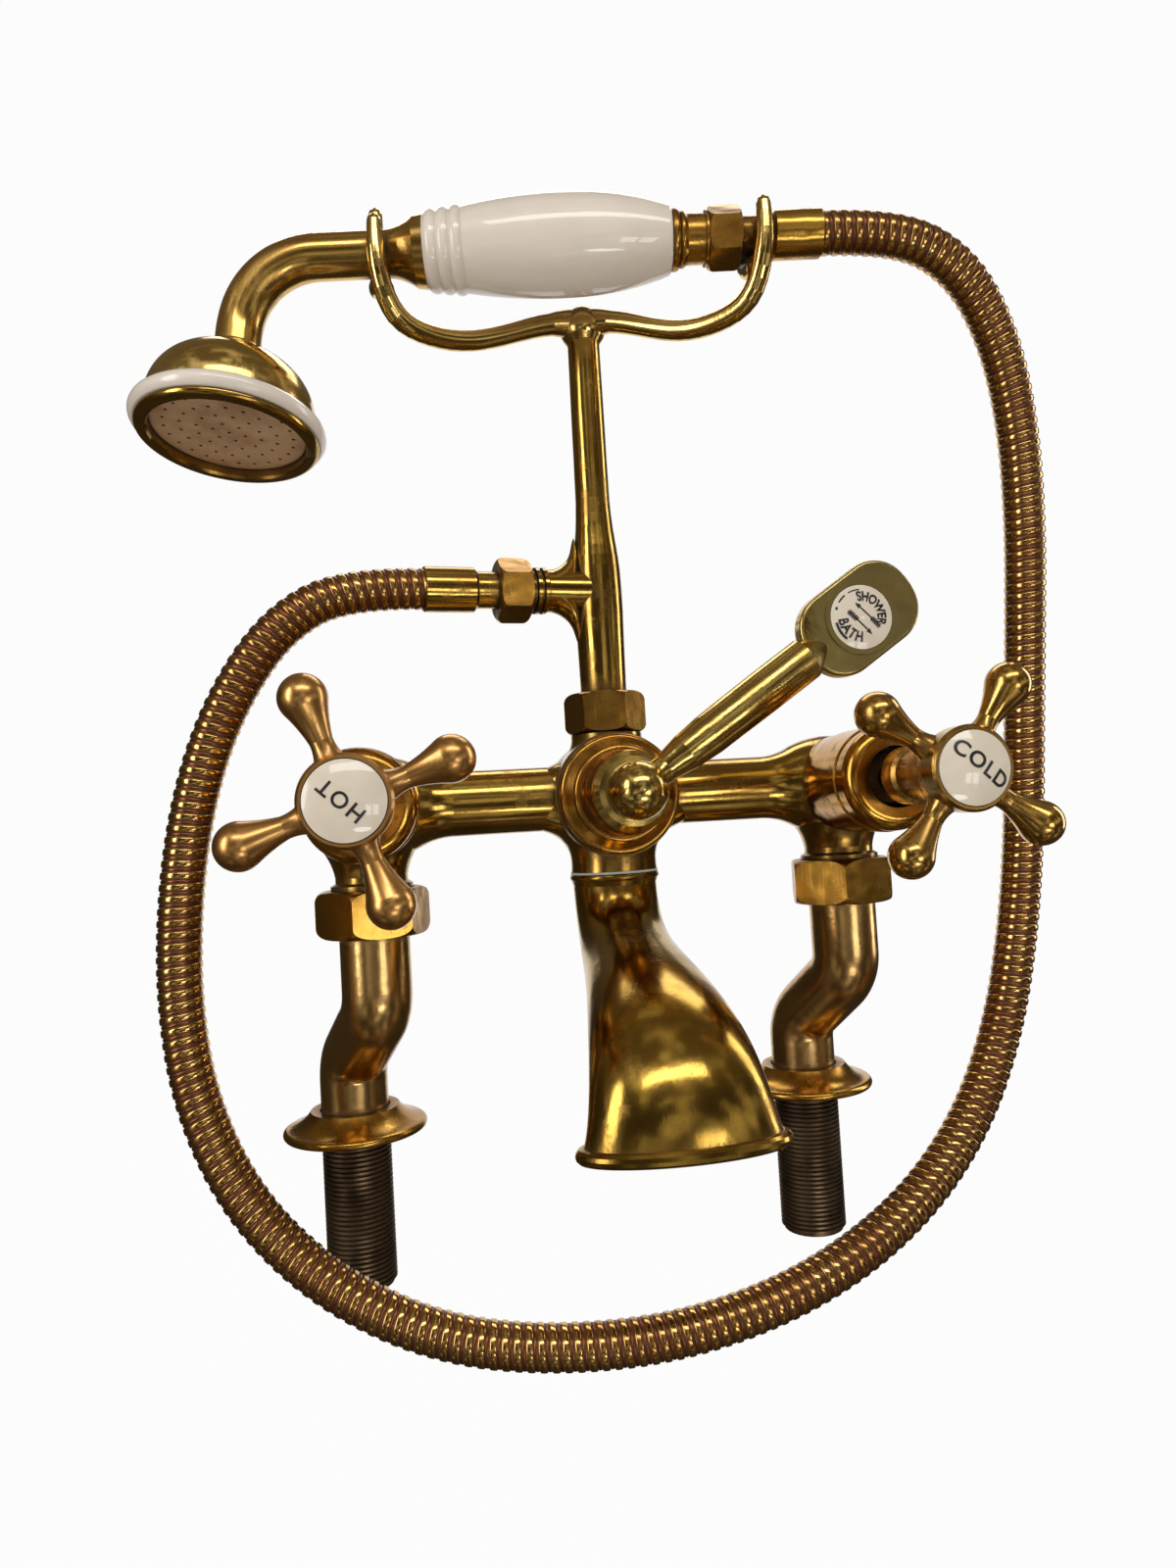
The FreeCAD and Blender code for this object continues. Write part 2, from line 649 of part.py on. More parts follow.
def handle(side):
    """A cross handle: skirt, hub with its index seat, and four arms with round knobs."""
    middle = V(valve_x(side), 0, AXIS_Z)
    start, front = HANDLE_SKIRT_START, HANDLE_FRONT
    hub = HANDLE_HUB_R
    neck = HANDLE_SKIRT_R
    profile = [(SPINDLE_R + JOIN_GAP, start), (neck - 0.8, start), (neck, start + 0.8), (neck, start + 8),
               (neck - 1.2, start + 9), (neck - 1.2, start + 13),
               (neck - 0.4, front - 22, hub - 1.2, front - 13), (hub, front - 8), (hub, front - 1),
               (hub - 0.8, front), (INDEX_R + RUN_GAP, front),
               (INDEX_R + RUN_GAP, front - INDEX_SEAT_DEPTH),
               (SCREW_HEAD_R + RUN_GAP, front - INDEX_SEAT_DEPTH),
               (SCREW_HEAD_R + RUN_GAP, front - INDEX_SEAT_DEPTH - SCREW_HEAD - RUN_GAP),
               (SPINDLE_R + JOIN_GAP, front - INDEX_SEAT_DEPTH - SCREW_HEAD - RUN_GAP)]
    shape = turned(profile, middle, FORWARD)
    first = HOT_HANDLE_TURN if side < 0 else COLD_HANDLE_TURN
    reach = HANDLE_KNOB_AT
    arm = turned([(0, hub - 3), (HANDLE_ARM_R + 2.6, hub - 3), (HANDLE_ARM_R + 0.5, hub + 1, HANDLE_ARM_R, hub + 5),
                  (HANDLE_ARM_R + 0.9, hub + 9, HANDLE_KNOB_R - 0.45, reach - 2.5),
                  cap(HANDLE_KNOB_R - 0.45, reach - 2.5, reach + HANDLE_KNOB_R)])
    arms = []
    for i in range(4):
        angle = math.radians(first + 90 * i)
        copy = arm.copy()
        arms.append(placed(copy, middle + FORWARD * HANDLE_ARM_FORWARD, V(math.cos(angle), 0, math.sin(angle))))
    return fused(shape, *arms)


def index(side):
    """The domed porcelain button in the handle's front."""
    base = V(valve_x(side), 0, AXIS_Z) + FORWARD * (HANDLE_FRONT - INDEX_SEAT_DEPTH)
    edge = INDEX_SEAT_DEPTH + INDEX_EDGE * 0.2
    top = edge + INDEX_DOME
    return turned([(0, 0), (INDEX_R, 0), (INDEX_R, edge), cap(INDEX_R, edge, top)], base, FORWARD)


def handle_screw(side):
    """The screw under the index that holds the handle on its spindle."""
    middle = V(valve_x(side), 0, AXIS_Z)
    head_front = middle + FORWARD * (HANDLE_FRONT - INDEX_SEAT_DEPTH - 0.4)
    head_back = middle + FORWARD * (HANDLE_FRONT - INDEX_SEAT_DEPTH - SCREW_HEAD - RUN_GAP)
    head = rod(SCREW_HEAD_R, head_back, head_front)
    shank = rod(SCREW_R, head_back - FORWARD * (SCREW_LENGTH - SCREW_HEAD), head_back)
    slot = Part.makeBox(SCREW_HEAD_R * 2 + 2, 2, 1, head_front + V(-SCREW_HEAD_R - 1, -1, -0.5))
    return fused(head, shank).cut(slot)


def lever_direction():
    angle = math.radians(LEVER_ANGLE)
    return V(math.cos(angle), 0, math.sin(angle))


def diverter_bonnet():
    """The stepped cover of the diverter's chamber, bored for its spindle."""
    base = V(0, 0, AXIS_Z) + FORWARD * CENTRE_FRONT
    r = BONNET_R
    front = BONNET_FRONT - CENTRE_FRONT
    bore = DIVERTER_SPINDLE_R + SEAT_GAP
    profile = [(bore, -BONNET_THREAD + 5), (DIVERTER_SPINDLE_HEAD_R + 1.5, -BONNET_THREAD + 5),
               (DIVERTER_SPINDLE_HEAD_R + 1.5, -BONNET_THREAD), (BONNET_THREAD_R - JOIN_GAP, -BONNET_THREAD),
               (BONNET_THREAD_R - JOIN_GAP, 0), (r - 0.8, 0), (r, 0.8), (r, 5), (r - 0.6, 6.2, r - 2, 6.5),
               (r - 4.4, 8.6), (r - 4.4, 11.5), (r - 5.2, 12.2, r - 6.4, 12.4), (r - 7.4, 15.5),
               (r - 7.4, front - 1.2), (r - 8.2, front), (GLAND_R + JOIN_GAP, front),
               (GLAND_R + JOIN_GAP, front - 7), (bore, front - 7)]
    return turned(profile, base, FORWARD)


def diverter_gland():
    """The packing gland between the bonnet and the diverter's spindle."""
    base = V(0, 0, AXIS_Z) + FORWARD * (BONNET_FRONT - 7)
    return ring(GLAND_R, DIVERTER_SPINDLE_R + SEAT_GAP, 6.5, base, FORWARD)


def pin_place():
    """Where the eccentric pin stands: on the left, half the sweep above the level."""
    angle = math.radians(180 - LEVER_SWEEP / 2)
    return V(PIN_THROW * math.cos(angle), 0, PIN_THROW * math.sin(angle))


def diverter_spindle():
    """The lever's spindle with the eccentric pin that lifts the shuttle."""
    middle = V(0, 0, AXIS_Z)
    head_back = SHUTTLE_R + RUN_GAP
    head_front = CENTRE_FRONT - BONNET_THREAD + 5 - RUN_GAP
    bar = rod(DIVERTER_SPINDLE_R, middle + FORWARD * head_back, middle + FORWARD * (LEVER_RING_FRONT - 2))
    head = rod(DIVERTER_SPINDLE_HEAD_R, middle + FORWARD * head_back, middle + FORWARD * head_front)
    pin_at = middle + pin_place() + FORWARD * head_back
    pin = rod(PIN_R, pin_at - FORWARD * PIN_LENGTH, pin_at + FORWARD)
    return fused(bar, head, pin)


def diverter_shuttle():
    """The double-ended valve that closes either the riser or the spout."""
    middle = V(0, 0, AXIS_Z + SHUTTLE_TRAVEL / 2)
    half = SHUTTLE_HALF
    core = Part.makeBox(2 * PIN_THROW + 3, 2 * PIN_THROW, 2 * half,
                        middle + V(-PIN_THROW - 1.5, -PIN_THROW, -half))
    core = core.common(rod(SHUTTLE_R, middle - UP * half, middle + UP * half))
    discs = [rod(SHUTTLE_R, middle + UP * side * half, middle + UP * side * (half + SHUTTLE_DISC))
             for side in (-1, 1)]
    pegs = [rod(2.0, middle + UP * side * half, middle + UP * side * (half + SHUTTLE_DISC + SHUTTLE_WASHER + 1))
            for side in (-1, 1)]
    tall = 2 * PIN_R + 2 * RUN_GAP + 0.8
    slot_depth = PIN_LENGTH + RUN_GAP - (SHUTTLE_R + RUN_GAP) + SHUTTLE_R
    slot = Part.makeBox(SHUTTLE_R + 3, slot_depth + 2, tall,
                        middle + V(-SHUTTLE_R - 3, -SHUTTLE_R - 2, -tall / 2))
    return fused(core, *discs, *pegs).cut(slot)


def shuttle_washers():
    """The two rubber faces of the shuttle."""
    middle = V(0, 0, AXIS_Z + SHUTTLE_TRAVEL / 2)
    outer = SHUTTLE_R
    faces = [ring(outer, 2.0 + JOIN_GAP, SHUTTLE_WASHER, middle + UP * side * (SHUTTLE_HALF + SHUTTLE_DISC),
                  UP * side) for side in (-1, 1)]
    return Part.makeCompound(faces)


def paddle_outline():
    """The paddle's edge: straight sides, round corners and slightly bowed ends, all tangent."""
    l, w = PADDLE_LENGTH / 2, PADDLE_WIDTH / 2
    corner, bow = PADDLE_CORNER_R, PADDLE_END_R
    run = math.sqrt((bow - corner) ** 2 - (w - corner) ** 2)
    turn = math.atan2(w - corner, run)
    half = (turn + math.pi / 2) / 2
    middle = V(l - bow + run, 0, w - corner)
    side = V(middle.x, 0, w)
    swell = middle + V(math.cos(half), 0, math.sin(half)) * corner
    join = V(l - bow * (1 - math.cos(turn)), 0, bow * math.sin(turn))

    def at(point, across, up):
        return V(point.x * across, 0, point.z * up)

    edges = []
    for s in (1, -1):
        edges += [Part.LineSegment(at(side, -s, s), at(side, s, s)).toShape(),
                  Part.Arc(at(side, s, s), at(swell, s, s), at(join, s, s)).toShape(),
                  Part.Arc(at(join, s, s), V(s * l, 0, 0), at(join, s, -s)).toShape(),
                  Part.Arc(at(join, s, -s), at(swell, s, -s), at(side, s, -s)).toShape()]
    return Part.Wire(edges)


def diverter_lever():
    """The lever: a ring on the spindle, a dome, a swelling arm and the indexed paddle."""
    middle = V(0, 0, AXIS_Z)
    out = lever_direction()
    ring_back = BONNET_FRONT + RUN_GAP
    boss = turned([(0, ring_back), (LEVER_RING_R - 1, ring_back), (LEVER_RING_R, ring_back + 1),
                   (LEVER_RING_R, LEVER_RING_FRONT - 2), (LEVER_RING_R - 2, LEVER_RING_FRONT),
                   (LEVER_DOME_R, LEVER_RING_FRONT + 0.5), (LEVER_DOME_R, LEVER_TIP - LEVER_DOME_R),
                   cap(LEVER_DOME_R, LEVER_TIP - LEVER_DOME_R, LEVER_TIP)], middle, FORWARD)
    paddle_back = PADDLE_AT - PADDLE_LENGTH / 2
    plane = LEVER_PLANE
    stations = [(6, LEVER_ARM_R + 0.4, plane + 1), (13, LEVER_ARM_R, plane - 0.5), (22, LEVER_ARM_SWELL_R - 0.8, plane),
                (32, LEVER_ARM_SWELL_R, plane), (56, LEVER_NECK_R, plane), (paddle_back - 1, LEVER_NECK_R, plane)]
    points = [middle + out * reach + FORWARD * forward for reach, radius, forward in stations]
    arm = tapered(points, [radius for reach, radius, forward in stations])
    web = Part.makeCone(LEVER_NECK_R, PADDLE_THICK / 2, LEVER_NECK_R, points[-1], out)
    plate = Part.Face(paddle_outline()).extrude(V(0, -PADDLE_THICK, 0))
    plate = plate.makeFillet(1.2, [e for e in plate.Edges if abs(e.Vertexes[0].Y - e.Vertexes[1].Y) < 0.01])
    turn = FreeCAD.Rotation(V(0, -1, 0), LEVER_ANGLE)
    centre = middle + out * PADDLE_AT + FORWARD * (plane - PADDLE_THICK / 2)
    plate.Placement = FreeCAD.Placement(centre, turn)
    front = centre + FORWARD * PADDLE_THICK
    bezel = ring(PADDLE_INDEX_R + 1.8, PADDLE_INDEX_R - 1, 1.0, front - FORWARD * 0.3, FORWARD)
    seat = rod(PADDLE_INDEX_R + SEAT_GAP, front - FORWARD * PADDLE_INDEX_SEAT, front + FORWARD * 2)
    socket = rod(DIVERTER_SPINDLE_R + JOIN_GAP, middle + FORWARD * ring_back,
                 middle + FORWARD * (LEVER_RING_FRONT - 2 + JOIN_GAP))
    return fused(boss, arm, web, plate, bezel).cut(seat).cut(socket)


def diverter_index():
    """The porcelain button in the lever's paddle."""
    centre = V(0, 0, AXIS_Z) + lever_direction() * PADDLE_AT
    base = centre + FORWARD * (LEVER_PLANE + PADDLE_THICK / 2 - PADDLE_INDEX_SEAT)
    edge = PADDLE_INDEX_SEAT + 0.7
    return turned([(0, 0), (PADDLE_INDEX_R, 0), (PADDLE_INDEX_R, edge),
                   cap(PADDLE_INDEX_R, edge, edge + 1.1)], base, FORWARD)


def spout_normal(station):
    """The way that water crosses one cross-section of the spout."""
    lean = math.radians(station[-1])
    return V(0, -math.sin(lean), -math.cos(lean))


def spout_ring(station, shrink):
    """One cross-section of the spout: forward place, height, half width, half depth, tip."""
    forward, height, wide, deep, tip = station
    normal = spout_normal(station)
    side = RIGHT
    across = normal.cross(side)
    centre = V(0, -forward, height)
    wide, deep = wide - shrink, deep - shrink
    if wide > deep:
        ellipse = Part.Ellipse(centre + side * wide, centre + across * deep, centre)
    else:
        ellipse = Part.Ellipse(centre + across * deep, centre - side * wide, centre)
    return Part.Wire(ellipse.toShape())


def spout_stations():
    """The spout falls from its seam, reaches forward and drops to a wide flat mouth."""
    top = SPOUT_SEAM_Z - SPOUT_SEAL - 4.0
    r = SPOUT_NECK_R
    return [(0.0, top, r - 0.6, r - 0.8, 0), (3.5, 80.0, r - 0.6, r - 1.2, 20), (16.0, 68.0, r + 0.1, 15.0, 52),
            (35.0, 60.5, 18.8, 14.8, 70), (55.0, 54.5, 21.6, 14.8, 72), (73.5, 46.5, 24.6, 15.0, 56),
            (86.0, 36.0, 27.0, 15.0, 30), (91.5, 24.5, 29.2, 14.4, 10), (92.5, 18.0, 31.0, 14.4, 4)]


def spout():
    """The hollow spout with a beaded collar at its top and a rolled rim at its mouth."""
    stations = spout_stations()
    outer = Part.makeLoft([spout_ring(s, 0) for s in stations], True, False)
    rings = [spout_ring(s, SPOUT_WALL) for s in stations]
    out = spout_normal(stations[-1])
    rings[0].translate(UP)
    rings[-1].translate(out * (SPOUT_RIM_R + 1))
    inner = Part.makeLoft(rings, True, False)
    top = SPOUT_SEAM_Z - SPOUT_SEAL
    collar = turned([(0, 0), (SPOUT_NECK_R, 0), (SPOUT_NECK_R + 0.6, 1.2, SPOUT_NECK_R, 2.6),
                     (SPOUT_NECK_R - 0.6, 4.4), (0, 4.4)], V(0, 0, top), DOWN)
    way = rod(SPOUT_NECK_R - SPOUT_JOINT_LAND, V(0, 0, top - 5.2), V(0, 0, top + 1))
    return fused(collar, outer, spout_rim(stations[-1])).cut(inner).cut(way)


def spout_rim(station):
    """The rolled bead round the spout's mouth, as rings that swell and draw in again."""
    out = spout_normal(station)
    rings = []
    for step in range(RIM_STEPS + 1):
        angle = math.pi * step / RIM_STEPS
        rim = spout_ring(station, 0.2 - SPOUT_RIM_R * math.sin(angle))
        rim.translate(out * (SPOUT_RIM_R * (1 - math.cos(angle)) - SPOUT_RIM_R))
        rings.append(rim)
    return Part.makeLoft(rings, True, True)


def spout_seal():
    base = V(0, 0, SPOUT_SEAM_Z - SPOUT_SEAL)
    return ring(SPOUT_NECK_R + 0.1, SPOUT_NECK_R - SPOUT_JOINT_LAND, SPOUT_SEAL, base, UP)


def outlet_axis():
    angle = math.radians(OUTLET_TURN)
    return V(-math.cos(angle), -math.sin(angle), 0)


def outlet_cove():
    """The cove that runs the outlet's branch into the column, as upright ovals that get
    taller and narrower towards the column."""
    out = outlet_axis()
    side = out.cross(UP)
    r, cove = OUTLET_R, OUTLET_COVE
    slices = [(cove + 1, 0, 0), (cove - 2, 0.25, 0.0), (cove - 5, 1.5, 0.3), (cove - 8, 4.0, 1.2), (cove - 10, 8.0, 2.6),
              (cove - 11.5, 13.0, 4.4)]
    rings = []
    for beyond, taller, narrower in slices:
        centre = V(0, 0, OUTLET_Z) + out * (RISER_R + beyond)
        tall, narrow = r - 0.05 + taller, r - 0.1 - narrower
        rings.append(Part.Wire(Part.Ellipse(centre + UP * tall, centre + side * narrow, centre).toShape()))
    return Part.makeLoft(rings, True)


def riser_column():
    """The riser tube: a captured collar below, the hose outlet at its side, a slim top."""
    low = RISER_SEAT
    z = OUTLET_Z
    r = RISER_R
    profile = [(0, low), (RISER_THREAD_R - RUN_GAP, low), (RISER_THREAD_R - RUN_GAP, low + RISER_COLLAR),
               (r - 0.5, low + RISER_COLLAR), (r, z - 14), (r + 0.1, z - 2, r - 0.2, z + 9),
               (r - 0.5, z + 13), (r - 0.95, z + 17), (r - 1.45, z + 21), (r - 1.9, z + 25),
               (RISER_WAIST_R + 0.3, z + 30), (RISER_WAIST_R, z + 36), (RISER_TOP_R, RISER_SEAM_Z),
               (0, RISER_SEAM_Z)]
    column = turned(profile)
    out = outlet_axis()
    base = V(0, 0, z)
    start = OUTLET_STUB_START
    branch = turned([(0, 0), (OUTLET_R, 0), (OUTLET_R, start - 0.5), (OUTLET_STUB_R + 0.6, start), (OUTLET_STUB_R + 0.6, start + 1.4),
                     (OUTLET_STUB_R - 0.6, start + 1.7), (OUTLET_STUB_R - 0.6, start + 2.5),
                     (OUTLET_STUB_R + 0.6, start + 2.8), (OUTLET_STUB_R + 0.6, start + 4.2),
                     (OUTLET_STUB_R - 0.6, start + 4.5), (OUTLET_STUB_R - 0.6, start + 5.3),
                     (OUTLET_STUB_R, start + 5.6), (OUTLET_STUB_R, OUTLET_STUB_END), (0, OUTLET_STUB_END)],
                    base, out)
    shell = fused(column, branch, outlet_cove())
    bore = rod(RISER_BORE_R, V(0, 0, low - 1), base + UP * 6)
    way = rod(RISER_BORE_R - 0.5, base, base + out * (OUTLET_STUB_END + 1))
    socket = rod(CRADLE_PIN_R + JOIN_GAP, V(0, 0, RISER_SEAM_Z - CRADLE_PIN - 0.5), V(0, 0, RISER_SEAM_Z + 1))
    return shell.cut(bore).cut(way).cut(socket)


def riser_nut():
    """The hexagon nut that holds the riser on the body."""
    base = V(0, 0, RISER_NUT_BOTTOM)
    body = hexagon(RISER_NUT_FLATS, RISER_NUT_HEIGHT, base, UP, RISER_NUT_TURN)
    inner_top = RISER_SEAT + RISER_COLLAR - RISER_NUT_BOTTOM + JOIN_GAP
    room = rod(RISER_THREAD_R + JOIN_GAP, base - UP, base + UP * inner_top)
    hole = rod(RISER_R + SEAT_GAP, base, base + UP * (RISER_NUT_HEIGHT + 1))
    return body.cut(room).cut(hole)


def riser_washer():
    return ring(RISER_THREAD_R - RUN_GAP, RISER_BORE_R, RISER_WASHER, V(0, 0, RISER_NECK_TOP), UP)


def hose_fitting(origin, axis, stub_end, ferrule_start, ferrule_end):
    """A hose end: the collar that the nut holds, its neck, and the ferrule on the hose."""
    collar_start = stub_end + HOSE_WASHER
    profile = [(HOSE_NECK_BORE_R, collar_start), (HANDSET_THREAD_R - RUN_GAP, collar_start),
               (HANDSET_THREAD_R - RUN_GAP, collar_start + HOSE_COLLAR), (HOSE_NECK_R, collar_start + HOSE_COLLAR),
               (HOSE_NECK_R, ferrule_start), (FERRULE_R - 1, ferrule_start), (FERRULE_R, ferrule_start + 1),
               (FERRULE_R, ferrule_end - 0.5), (FERRULE_R - 0.5, ferrule_end), (HOSE_NECK_BORE_R, ferrule_end)]
    return turned(profile, origin, axis)


def hose_nut(origin, axis, start, length, flats, stub_end, turn):
    """The hexagon nut that pulls a hose end against its washer."""
    base = origin + axis * start
    body = hexagon(flats, length, base, axis, turn)
    inner_end = stub_end + HOSE_WASHER + HOSE_COLLAR + JOIN_GAP
    room = rod(HANDSET_THREAD_R + JOIN_GAP, base - axis, origin + axis * inner_end)
    hole = rod(HOSE_NECK_R + SEAT_GAP, base, base + axis * (length + 1))
    return body.cut(room).cut(hole)


def outlet_pieces():
    origin = V(0, 0, OUTLET_Z)
    axis = outlet_axis()
    keep("hose_outlet_nut", hose_nut(origin, axis, OUTLET_NUT_START, OUTLET_NUT_LENGTH, OUTLET_NUT_FLATS,
                                     OUTLET_STUB_END, OUTLET_NUT_TURN))
    keep("hose_outlet_washer", ring(OUTLET_STUB_R - RUN_GAP, HOSE_NECK_BORE_R, HOSE_WASHER,
                                    origin + axis * OUTLET_STUB_END, axis))
    keep("hose_outlet_ferrule", hose_fitting(origin, axis, OUTLET_STUB_END, OUTLET_FERRULE_START,
                                             OUTLET_FERRULE_END))


def handset_axis():
    angle = math.radians(HANDSET_TURN)
    return V(math.cos(angle), -math.sin(angle), 0)


def on_handset(along):
    """A point on the handset's axis. Zero is level with the column."""
    return V(0, -HANDSET_FORWARD, HANDSET_Z) + handset_axis() * along


CONNECTOR_END = CONNECTOR_NUT_START + HANDSET_NUT_LENGTH - HANDSET_NUT_LIP - HOSE_COLLAR - HOSE_WASHER


def cradle_arm(fork, neck_r, rear_height):
    """One arm and its fork. The arm runs out from the boss, dips, turns forwards under the
    handset and rises in front of it, and the rear prong leaves it to rise behind."""
    end = on_handset(fork)
    reach = V(end.x, end.y, 0)

    def at(share, rise, forward):
        return reach * share + UP * rise + FORWARD * forward

    z, dip = CRADLE_ARM_Z, CRADLE_ARM_DIP
    r, thin, tip = CRADLE_ARM_R, CRADLE_PRONG_R, CRADLE_TIP_R
    hold = neck_r + FORK_GAP + thin
    side = PRONG_REACH
    cup = end.z - hold
    corner = (hold + side) / 2 + 0.4
    arm = [(at(0, z, 0), r + 2.5), (at(0.17, z - dip * 0.1, 0), r + 0.4), (at(0.37, z - dip * 0.55, 0), r),
           (at(0.57, z - dip * 0.97, 0.5), r), (at(0.77, z - dip * 1.08, 3), r),
           (at(0.92, z - dip * 0.78, 7.5), r), (at(0.985, cup - 3, side - 0.8), r - 0.3),
           (at(1.0, end.z - 5, side), thin), (at(1.0, end.z + PRONG_FRONT, side), tip)]
    rear = [(at(0.95, z - dip * 0.5, 8.5), thin - 0.7), (at(0.98, cup - 1.6, 4.5), thin - 0.1),
            (at(1.0, cup, 0), thin), (at(1.0, end.z - corner * 0.71, -corner * 0.71), thin),
            (at(1.0, end.z - 1, -side), thin), (at(1.0, end.z + rear_height, -side), tip)]
    bars = []
    for bar in (arm, rear):
        rings = bar + [(bar[-1][0] + UP * tip * rise, tip * share) for rise, share in TIP_RINGS]
        bars.append(tapered([point for point, radius in rings], [radius for point, radius in rings]))
    return bars


def cradle():
    """The forked rest on top of the column."""
    low = RISER_SEAM_Z
    r = CRADLE_BOSS_R
    top = CRADLE_BOSS_TOP
    boss = turned([(0, low), (RISER_TOP_R + 0.1, low), (r - 2.0, low + 2.2), (r - 1.2, low + 7, r - 3.0, top - 4),
                   cap(r - 3.0, top - 4, top)])
    pin = rod(CRADLE_PIN_R, V(0, 0, low - CRADLE_PIN), V(0, 0, low + 1))
    return fused(boss, pin, *cradle_arm(FORK_LEFT, NECK_R, PRONG_REAR_LEFT),
                 *cradle_arm(FORK_RIGHT, HOSE_NECK_R, PRONG_REAR_RIGHT))


def rose_axis():
    """The way that the rose faces: down, leaning outwards and a little forwards."""
    out = math.radians(ROSE_LEAN_OUT)
    forward = math.radians(ROSE_LEAN_FORWARD)
    return V(-math.tan(out), -math.tan(forward), -1).normalize()


def bend(start, into, away, radius):
    """An arc that turns a tube from one direction to another, and where it ends."""
    turn = into.getAngle(away)
    inward = (away - into * math.cos(turn)).normalize()
    centre = start + inward * radius
    middle = centre - inward * radius * math.cos(turn / 2) + into * radius * math.sin(turn / 2)
    end = centre - inward * radius * math.cos(turn) + into * radius * math.sin(turn)
    return Part.Arc(start, middle, end).toShape(), end


def neck_path():
    """The neck's centreline from its flare to the rose, and the point where the rose starts."""
    turn = math.radians(NECK_BEND_TURN)
    back = handset_axis() * -1
    start = on_handset(NECK_BEND_START)
    leaving = back * math.cos(turn) + DOWN * math.sin(turn)
    first, knee = bend(start, back, leaving, NECK_BEND_R)
    second, low = bend(knee, leaving, rose_axis(), NECK_BEND_R)
    tail = low + rose_axis() * NECK_TAIL
    path = [Part.LineSegment(on_handset(NECK_FLARE_START), start).toShape(), first, second,
            Part.LineSegment(low, tail).toShape()]
    return path, tail


def handset_neck():
    """The brass neck: a flare against the grip, a straight tube and the bend to the rose."""
    axis = handset_axis()
    path, tail = neck_path()
    tube = sweep(path, NECK_R, on_handset(NECK_FLARE_START), axis)
    bore = sweep(path, NECK_R - NECK_WALL, on_handset(NECK_FLARE_START), axis)
    flare_length = GRIP_LEFT - NECK_FLARE_START
    r = NECK_R
    inside = GRIP_BORE_R - GRIP_TUBE_WALL
    flare = turned([(inside, 0), (r, 0), (r + 0.9, flare_length * 0.3, NECK_FLARE_R - 0.5, flare_length * 0.72),
                    (NECK_FLARE_R, flare_length), (inside, flare_length)],
                   on_handset(NECK_FLARE_START), axis)
    return fused(tube.cut(bore), flare)


def rose_base():
    """Where the rose's bell starts on the neck."""
    return neck_path()[1]


def rose_bell():
    """The domed shell over the rose, with a bead where it meets the neck."""
    wall = BELL_WALL
    profile = [(NECK_R - NECK_WALL, 0), (NECK_R + 1.4, 0), (NECK_R + 2.0, 1.2, NECK_R + 1.4, 2.4),
               (NECK_R + 0.8, 4), (BELL_R * 0.83, BELL_LENGTH * 0.44, BELL_R, BELL_LENGTH),
               (BELL_R, ROSE_DEPTH - 4), (BELL_R - wall, ROSE_DEPTH - 4), (BELL_R - wall, BELL_LENGTH),
               (BELL_R * 0.83 - wall, BELL_LENGTH * 0.44 + wall, NECK_R - NECK_WALL, 5)]
    return turned(profile, rose_base(), rose_axis())


def rose_ring():
    """The ivory ring round the rose's mouth."""
    low = ROSE_DEPTH - 7.5
    inner = BELL_R + SEAT_GAP
    outer = ROSE_R
    tall = 2 * ROSE_RING_R
    profile = [(inner, low), (outer - 2, low), (outer, low + tall * 0.4, outer - 1.6, low + tall),
               (inner, low + tall)]
    return turned(profile, rose_base(), rose_axis())


def rose_rim():
    """The brass ring that closes the rose and holds the ring and the spray plate."""
    low = ROSE_DEPTH - 1.5
    outer = ROSE_R - 2.4
    plate_back = ROSE_DEPTH - ROSE_PLATE_RECESS
    inner = ROSE_PLATE_R
    profile = [(inner, plate_back), (BELL_R - BELL_WALL - JOIN_GAP, plate_back),
               (BELL_R - BELL_WALL - JOIN_GAP, low), (outer, low), (outer + 0.2, low + 1.2, outer - 1.2, ROSE_DEPTH + 1),
               (inner + 0.6, ROSE_DEPTH + 1), (inner, ROSE_DEPTH)]
    return turned(profile, rose_base(), rose_axis())


def rose_plate():
    """The spray plate with its rings of small holes."""
    start = ROSE_DEPTH - ROSE_PLATE_RECESS
    plate = turned([(0, start), (ROSE_PLATE_R - JOIN_GAP, start), (ROSE_PLATE_R - JOIN_GAP, start + ROSE_PLATE_THICK),
                    (0, start + ROSE_PLATE_THICK)])
    holes = [Part.makeCylinder(ROSE_HOLE_R, ROSE_PLATE_THICK + 2, V(0, 0, start - 1))]
    for row in range(1, ROSE_HOLE_RINGS + 1):
        count = 6 * row
        for i in range(count):
            angle = 2 * math.pi * (i + 0.5 * (row % 2)) / count
            at = V(row * ROSE_HOLE_STEP * math.cos(angle), row * ROSE_HOLE_STEP * math.sin(angle), start - 1)
            holes.append(Part.makeCylinder(ROSE_HOLE_R, ROSE_PLATE_THICK + 2, at))
    return placed(plate.cut(Part.makeCompound(holes)), rose_base(), rose_axis())


def porcelain_grip():
    """The barrel-shaped grip with turned ribs at its left end."""
    length = GRIP_RIGHT - GRIP_LEFT
    left, right, most, rib = GRIP_LEFT_R, GRIP_RIGHT_R, GRIP_R, GRIP_RIB
    bore = GRIP_BORE_R + SEAT_GAP
    profile = [(bore, 0), (left - 0.5, 0), (left, 0.6)]
    for i in range(GRIP_RIBS):
        low = 0.6 + i * rib
        base = left + 0.5 * i
        profile += [(base + 1.2, low + rib * 0.42, base + 0.9, low + rib * 0.86), (base + 0.5, low + rib)]
    profile += [(left + 3.9, length * 0.36, most, length * 0.61),
                (most - 2.4, length * 0.86, right + 0.6, length - 0.6),
                (right, length), (bore, length)]
    return turned(profile, on_handset(GRIP_LEFT), handset_axis())


